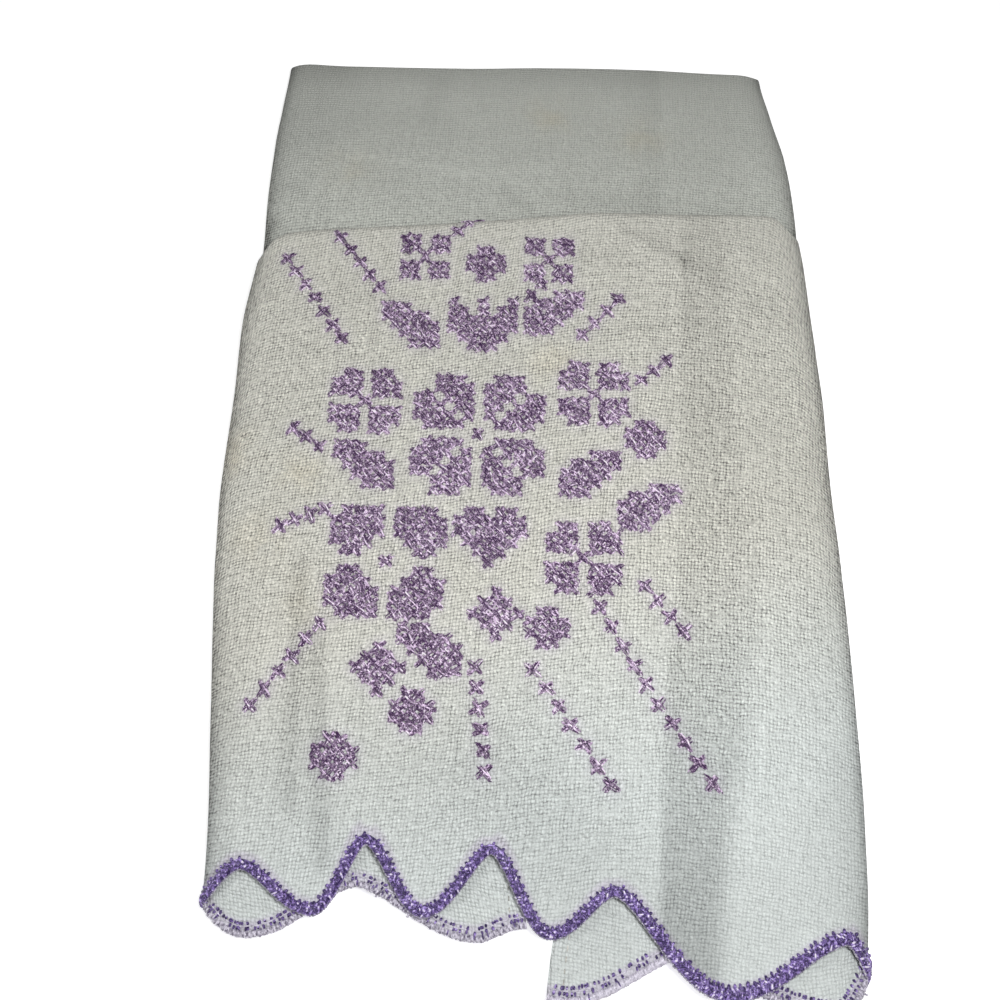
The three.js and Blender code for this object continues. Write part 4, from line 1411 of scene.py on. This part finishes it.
def cross_strands(places):
    x, y, lift, radii, shades = [], [], [], [], []
    points = len(LEG_SHARE)
    for centre_x, centre_y, size in places:
        turned = dice.normal(0, CROSS_TURN_SPREAD)
        for leg_lift, diagonal in ((UNDER_LIFT, 1), (OVER_LIFT, -1)):
            length = size * math.sqrt(2) * dice.normal(1.0, LEG_LENGTH_SPREAD)
            angle = diagonal * math.pi / 4 + turned + dice.normal(0, LEG_TURN_SPREAD)
            shift_x, shift_y = dice.normal(0, LEG_SHIFT_SPREAD, 2)
            way_x, way_y = math.cos(angle), math.sin(angle)
            tones = leg_shades((centre_x, centre_y))
            for strand in range(STRANDS_IN_LEG):
                place_in_leg = (strand - (STRANDS_IN_LEG - 1) / 2) * STRAND_GAP
                beside = place_in_leg * LEG_SPREAD + dice.normal(0, STRAND_SPREAD, points)
                on_way = (LEG_SHARE - 0.5) * length * dice.uniform(*STITCH_LENGTHS)
                x.append(centre_x + shift_x + way_x * on_way - way_y * beside)
                y.append(centre_y + shift_y + way_y * on_way + way_x * beside)
                lift.append(leg_lift + dice.normal(0, LIFT_SPREAD, points))
                radii.append(LEG_THICKNESS * STRAND_RADIUS * MM * dice.uniform(*THICKNESSES))
                shades.append(np.clip(tones[strand] + LEG_SHADE, 0, LIGHTEST_SHADE))
    return in_frame(on_front(np.array(x), np.array(y), np.array(lift))), radii, shades

# %% The two pieces of the spray
spray_thread = thread_material(
    "spray_thread", deep=(0.06, 0.018, 0.085, 1), pale=(0.95, 0.735, 1.0, 1), contrast=0.85, painted_highlight_strength=0.9,
)
spray = [
    strand_mesh("embroidery_flowers", *cross_strands(flower_crosses)),
    strand_mesh("embroidery_leaves_and_trails", *cross_strands(leaf_crosses)),
]
for piece in spray:
    piece.data.materials.append(spray_thread)

# %% [markdown]
# Light that falls on the thread comes back lilac and tints the cloth right beside it. The material can't
# see the stitches, so each point of the sheet gets its distance to the nearest cross as one more
# attribute.

# %% Cloth near the stitches, for the faint lilac cast of the thread
STITCH_CAST_REACH = 2.6 * MM
stitched = np.array(flower_crosses + leaf_crosses)
stitched = in_frame(on_front(stitched[:, 0], stitched[:, 1], np.zeros(len(stitched))))
cloth = np.zeros((len(mesh.vertices), 3), np.float32)
mesh.vertices.foreach_get("co", cloth.ravel())
nearest = np.full(len(cloth), 1.0)
for centre in stitched:
    nearest = np.minimum(nearest, np.linalg.norm(cloth - centre, axis=1))
near_stitches = mesh.attributes.new("near_stitches", "FLOAT", "POINT")
near_stitches.data.foreach_set("value", np.exp(-(nearest / STITCH_CAST_REACH) ** 2).astype(np.float32))
print("points of the sheet beside a cross:", int((nearest < STITCH_CAST_REACH).sum()))

# %% [markdown]
# The towel lies on a plain pale floor. The light is soft and comes from the reader's side and from
# above, so it falls off towards the back. The panel past the first fold is darker, as on the real towel,
# partly from the light and partly from painted shade in its colour. The floor gives a little light of its
# own, like a light table, so that it stays pale. The camera looks steeply down from the near side.

# %% Floor
FLOOR_REACH, FLOOR_GREY, FLOOR_ROUGHNESS, FLOOR_GLOW = 2.0, 0.93, 0.9, 0.6


def add_floor():
    floor_mesh = bpy.data.meshes.new("floor")
    plane = bmesh.new()
    bmesh.ops.create_grid(plane, x_segments=1, y_segments=1, size=FLOOR_REACH)
    plane.to_mesh(floor_mesh)
    plane.free()
    material, tree = new_material("pale_floor")
    shader = node(tree, "ShaderNodeBsdfPrincipled", {
        "Base Color": (FLOOR_GREY, FLOOR_GREY, FLOOR_GREY, 1), "Roughness": FLOOR_ROUGHNESS,
        "Emission Color": (1, 1, 1, 1), "Emission Strength": FLOOR_GLOW,
    })
    node(tree, "ShaderNodeOutputMaterial", {0: shader.outputs[0]})
    floor_mesh.materials.append(material)
    return new_object("floor", floor_mesh)


floor = add_floor()
print("the floor reaches", max(corner.co.x for corner in floor.data.vertices), "m to each side")

# %% Light
ROOM_LIGHT = 0.15


def add_light(name, place, aim, size, power):
    light = bpy.data.lights.new(name, "AREA")
    light.shape, light.size, light.energy = "DISK", size, power
    holder = new_object(name, light)
    holder.location = place
    holder.rotation_mode = "QUATERNION"
    holder.rotation_quaternion = (Vector(aim) - Vector(place)).to_track_quat("-Z", "Y")


add_light("key", place=(0.075, -0.11, 0.355), aim=(0, -0.02, 0), size=0.1, power=1.06)
add_light("left", place=(-0.30, -0.10, 0.30), aim=(0, 0, 0), size=0.2, power=0.40)
world = bpy.data.worlds.new("soft_room")
bpy.context.scene.world = world
world.use_nodes = True
background = world.node_tree.nodes["Background"]
background.inputs["Color"].default_value = (1, 1, 1, 1)
background.inputs["Strength"].default_value = ROOM_LIGHT
print("lights:", [light.name for light in bpy.data.lights])

# %% Camera
ELEVATION, AZIMUTH = math.radians(68), math.radians(2)
DISTANCE, SENSOR_WIDTH, FOCAL_SHARE = 0.3563, 36, 1.1
CLIP_START, CLIP_END = 0.01, 10
TARGET = in_frame([0, 0, 8])


def add_camera():
    data = bpy.data.cameras.new("camera")
    data.sensor_width = SENSOR_WIDTH
    data.lens = SENSOR_WIDTH * FOCAL_SHARE
    data.clip_start, data.clip_end = CLIP_START, CLIP_END
    camera = new_object("camera", data)
    level = math.cos(ELEVATION)
    ahead = Vector((-math.sin(AZIMUTH) * level, math.cos(AZIMUTH) * level, -math.sin(ELEVATION)))
    camera.location = Vector(TARGET) - DISTANCE * ahead
    camera.rotation_mode = "QUATERNION"
    camera.rotation_quaternion = ahead.to_track_quat("-Z", "Y")
    bpy.context.scene.camera = camera
    print("camera at", [round(value, 4) for value in camera.location])


add_camera()
bpy.context.scene.view_settings.view_transform = "Standard"

# %% [markdown]
# The last cell hangs the sheet and the stitches on the root body, so that the stitches ride with the
# sheet, and it hides the imported solid, whose place the sheet takes.

# %% Attach the pieces and hide the imported solid
sewn_on = [*stitched_edge, *spray]
for piece in (linen, *sewn_on):
    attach(piece, "root")
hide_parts("towel_cloth")
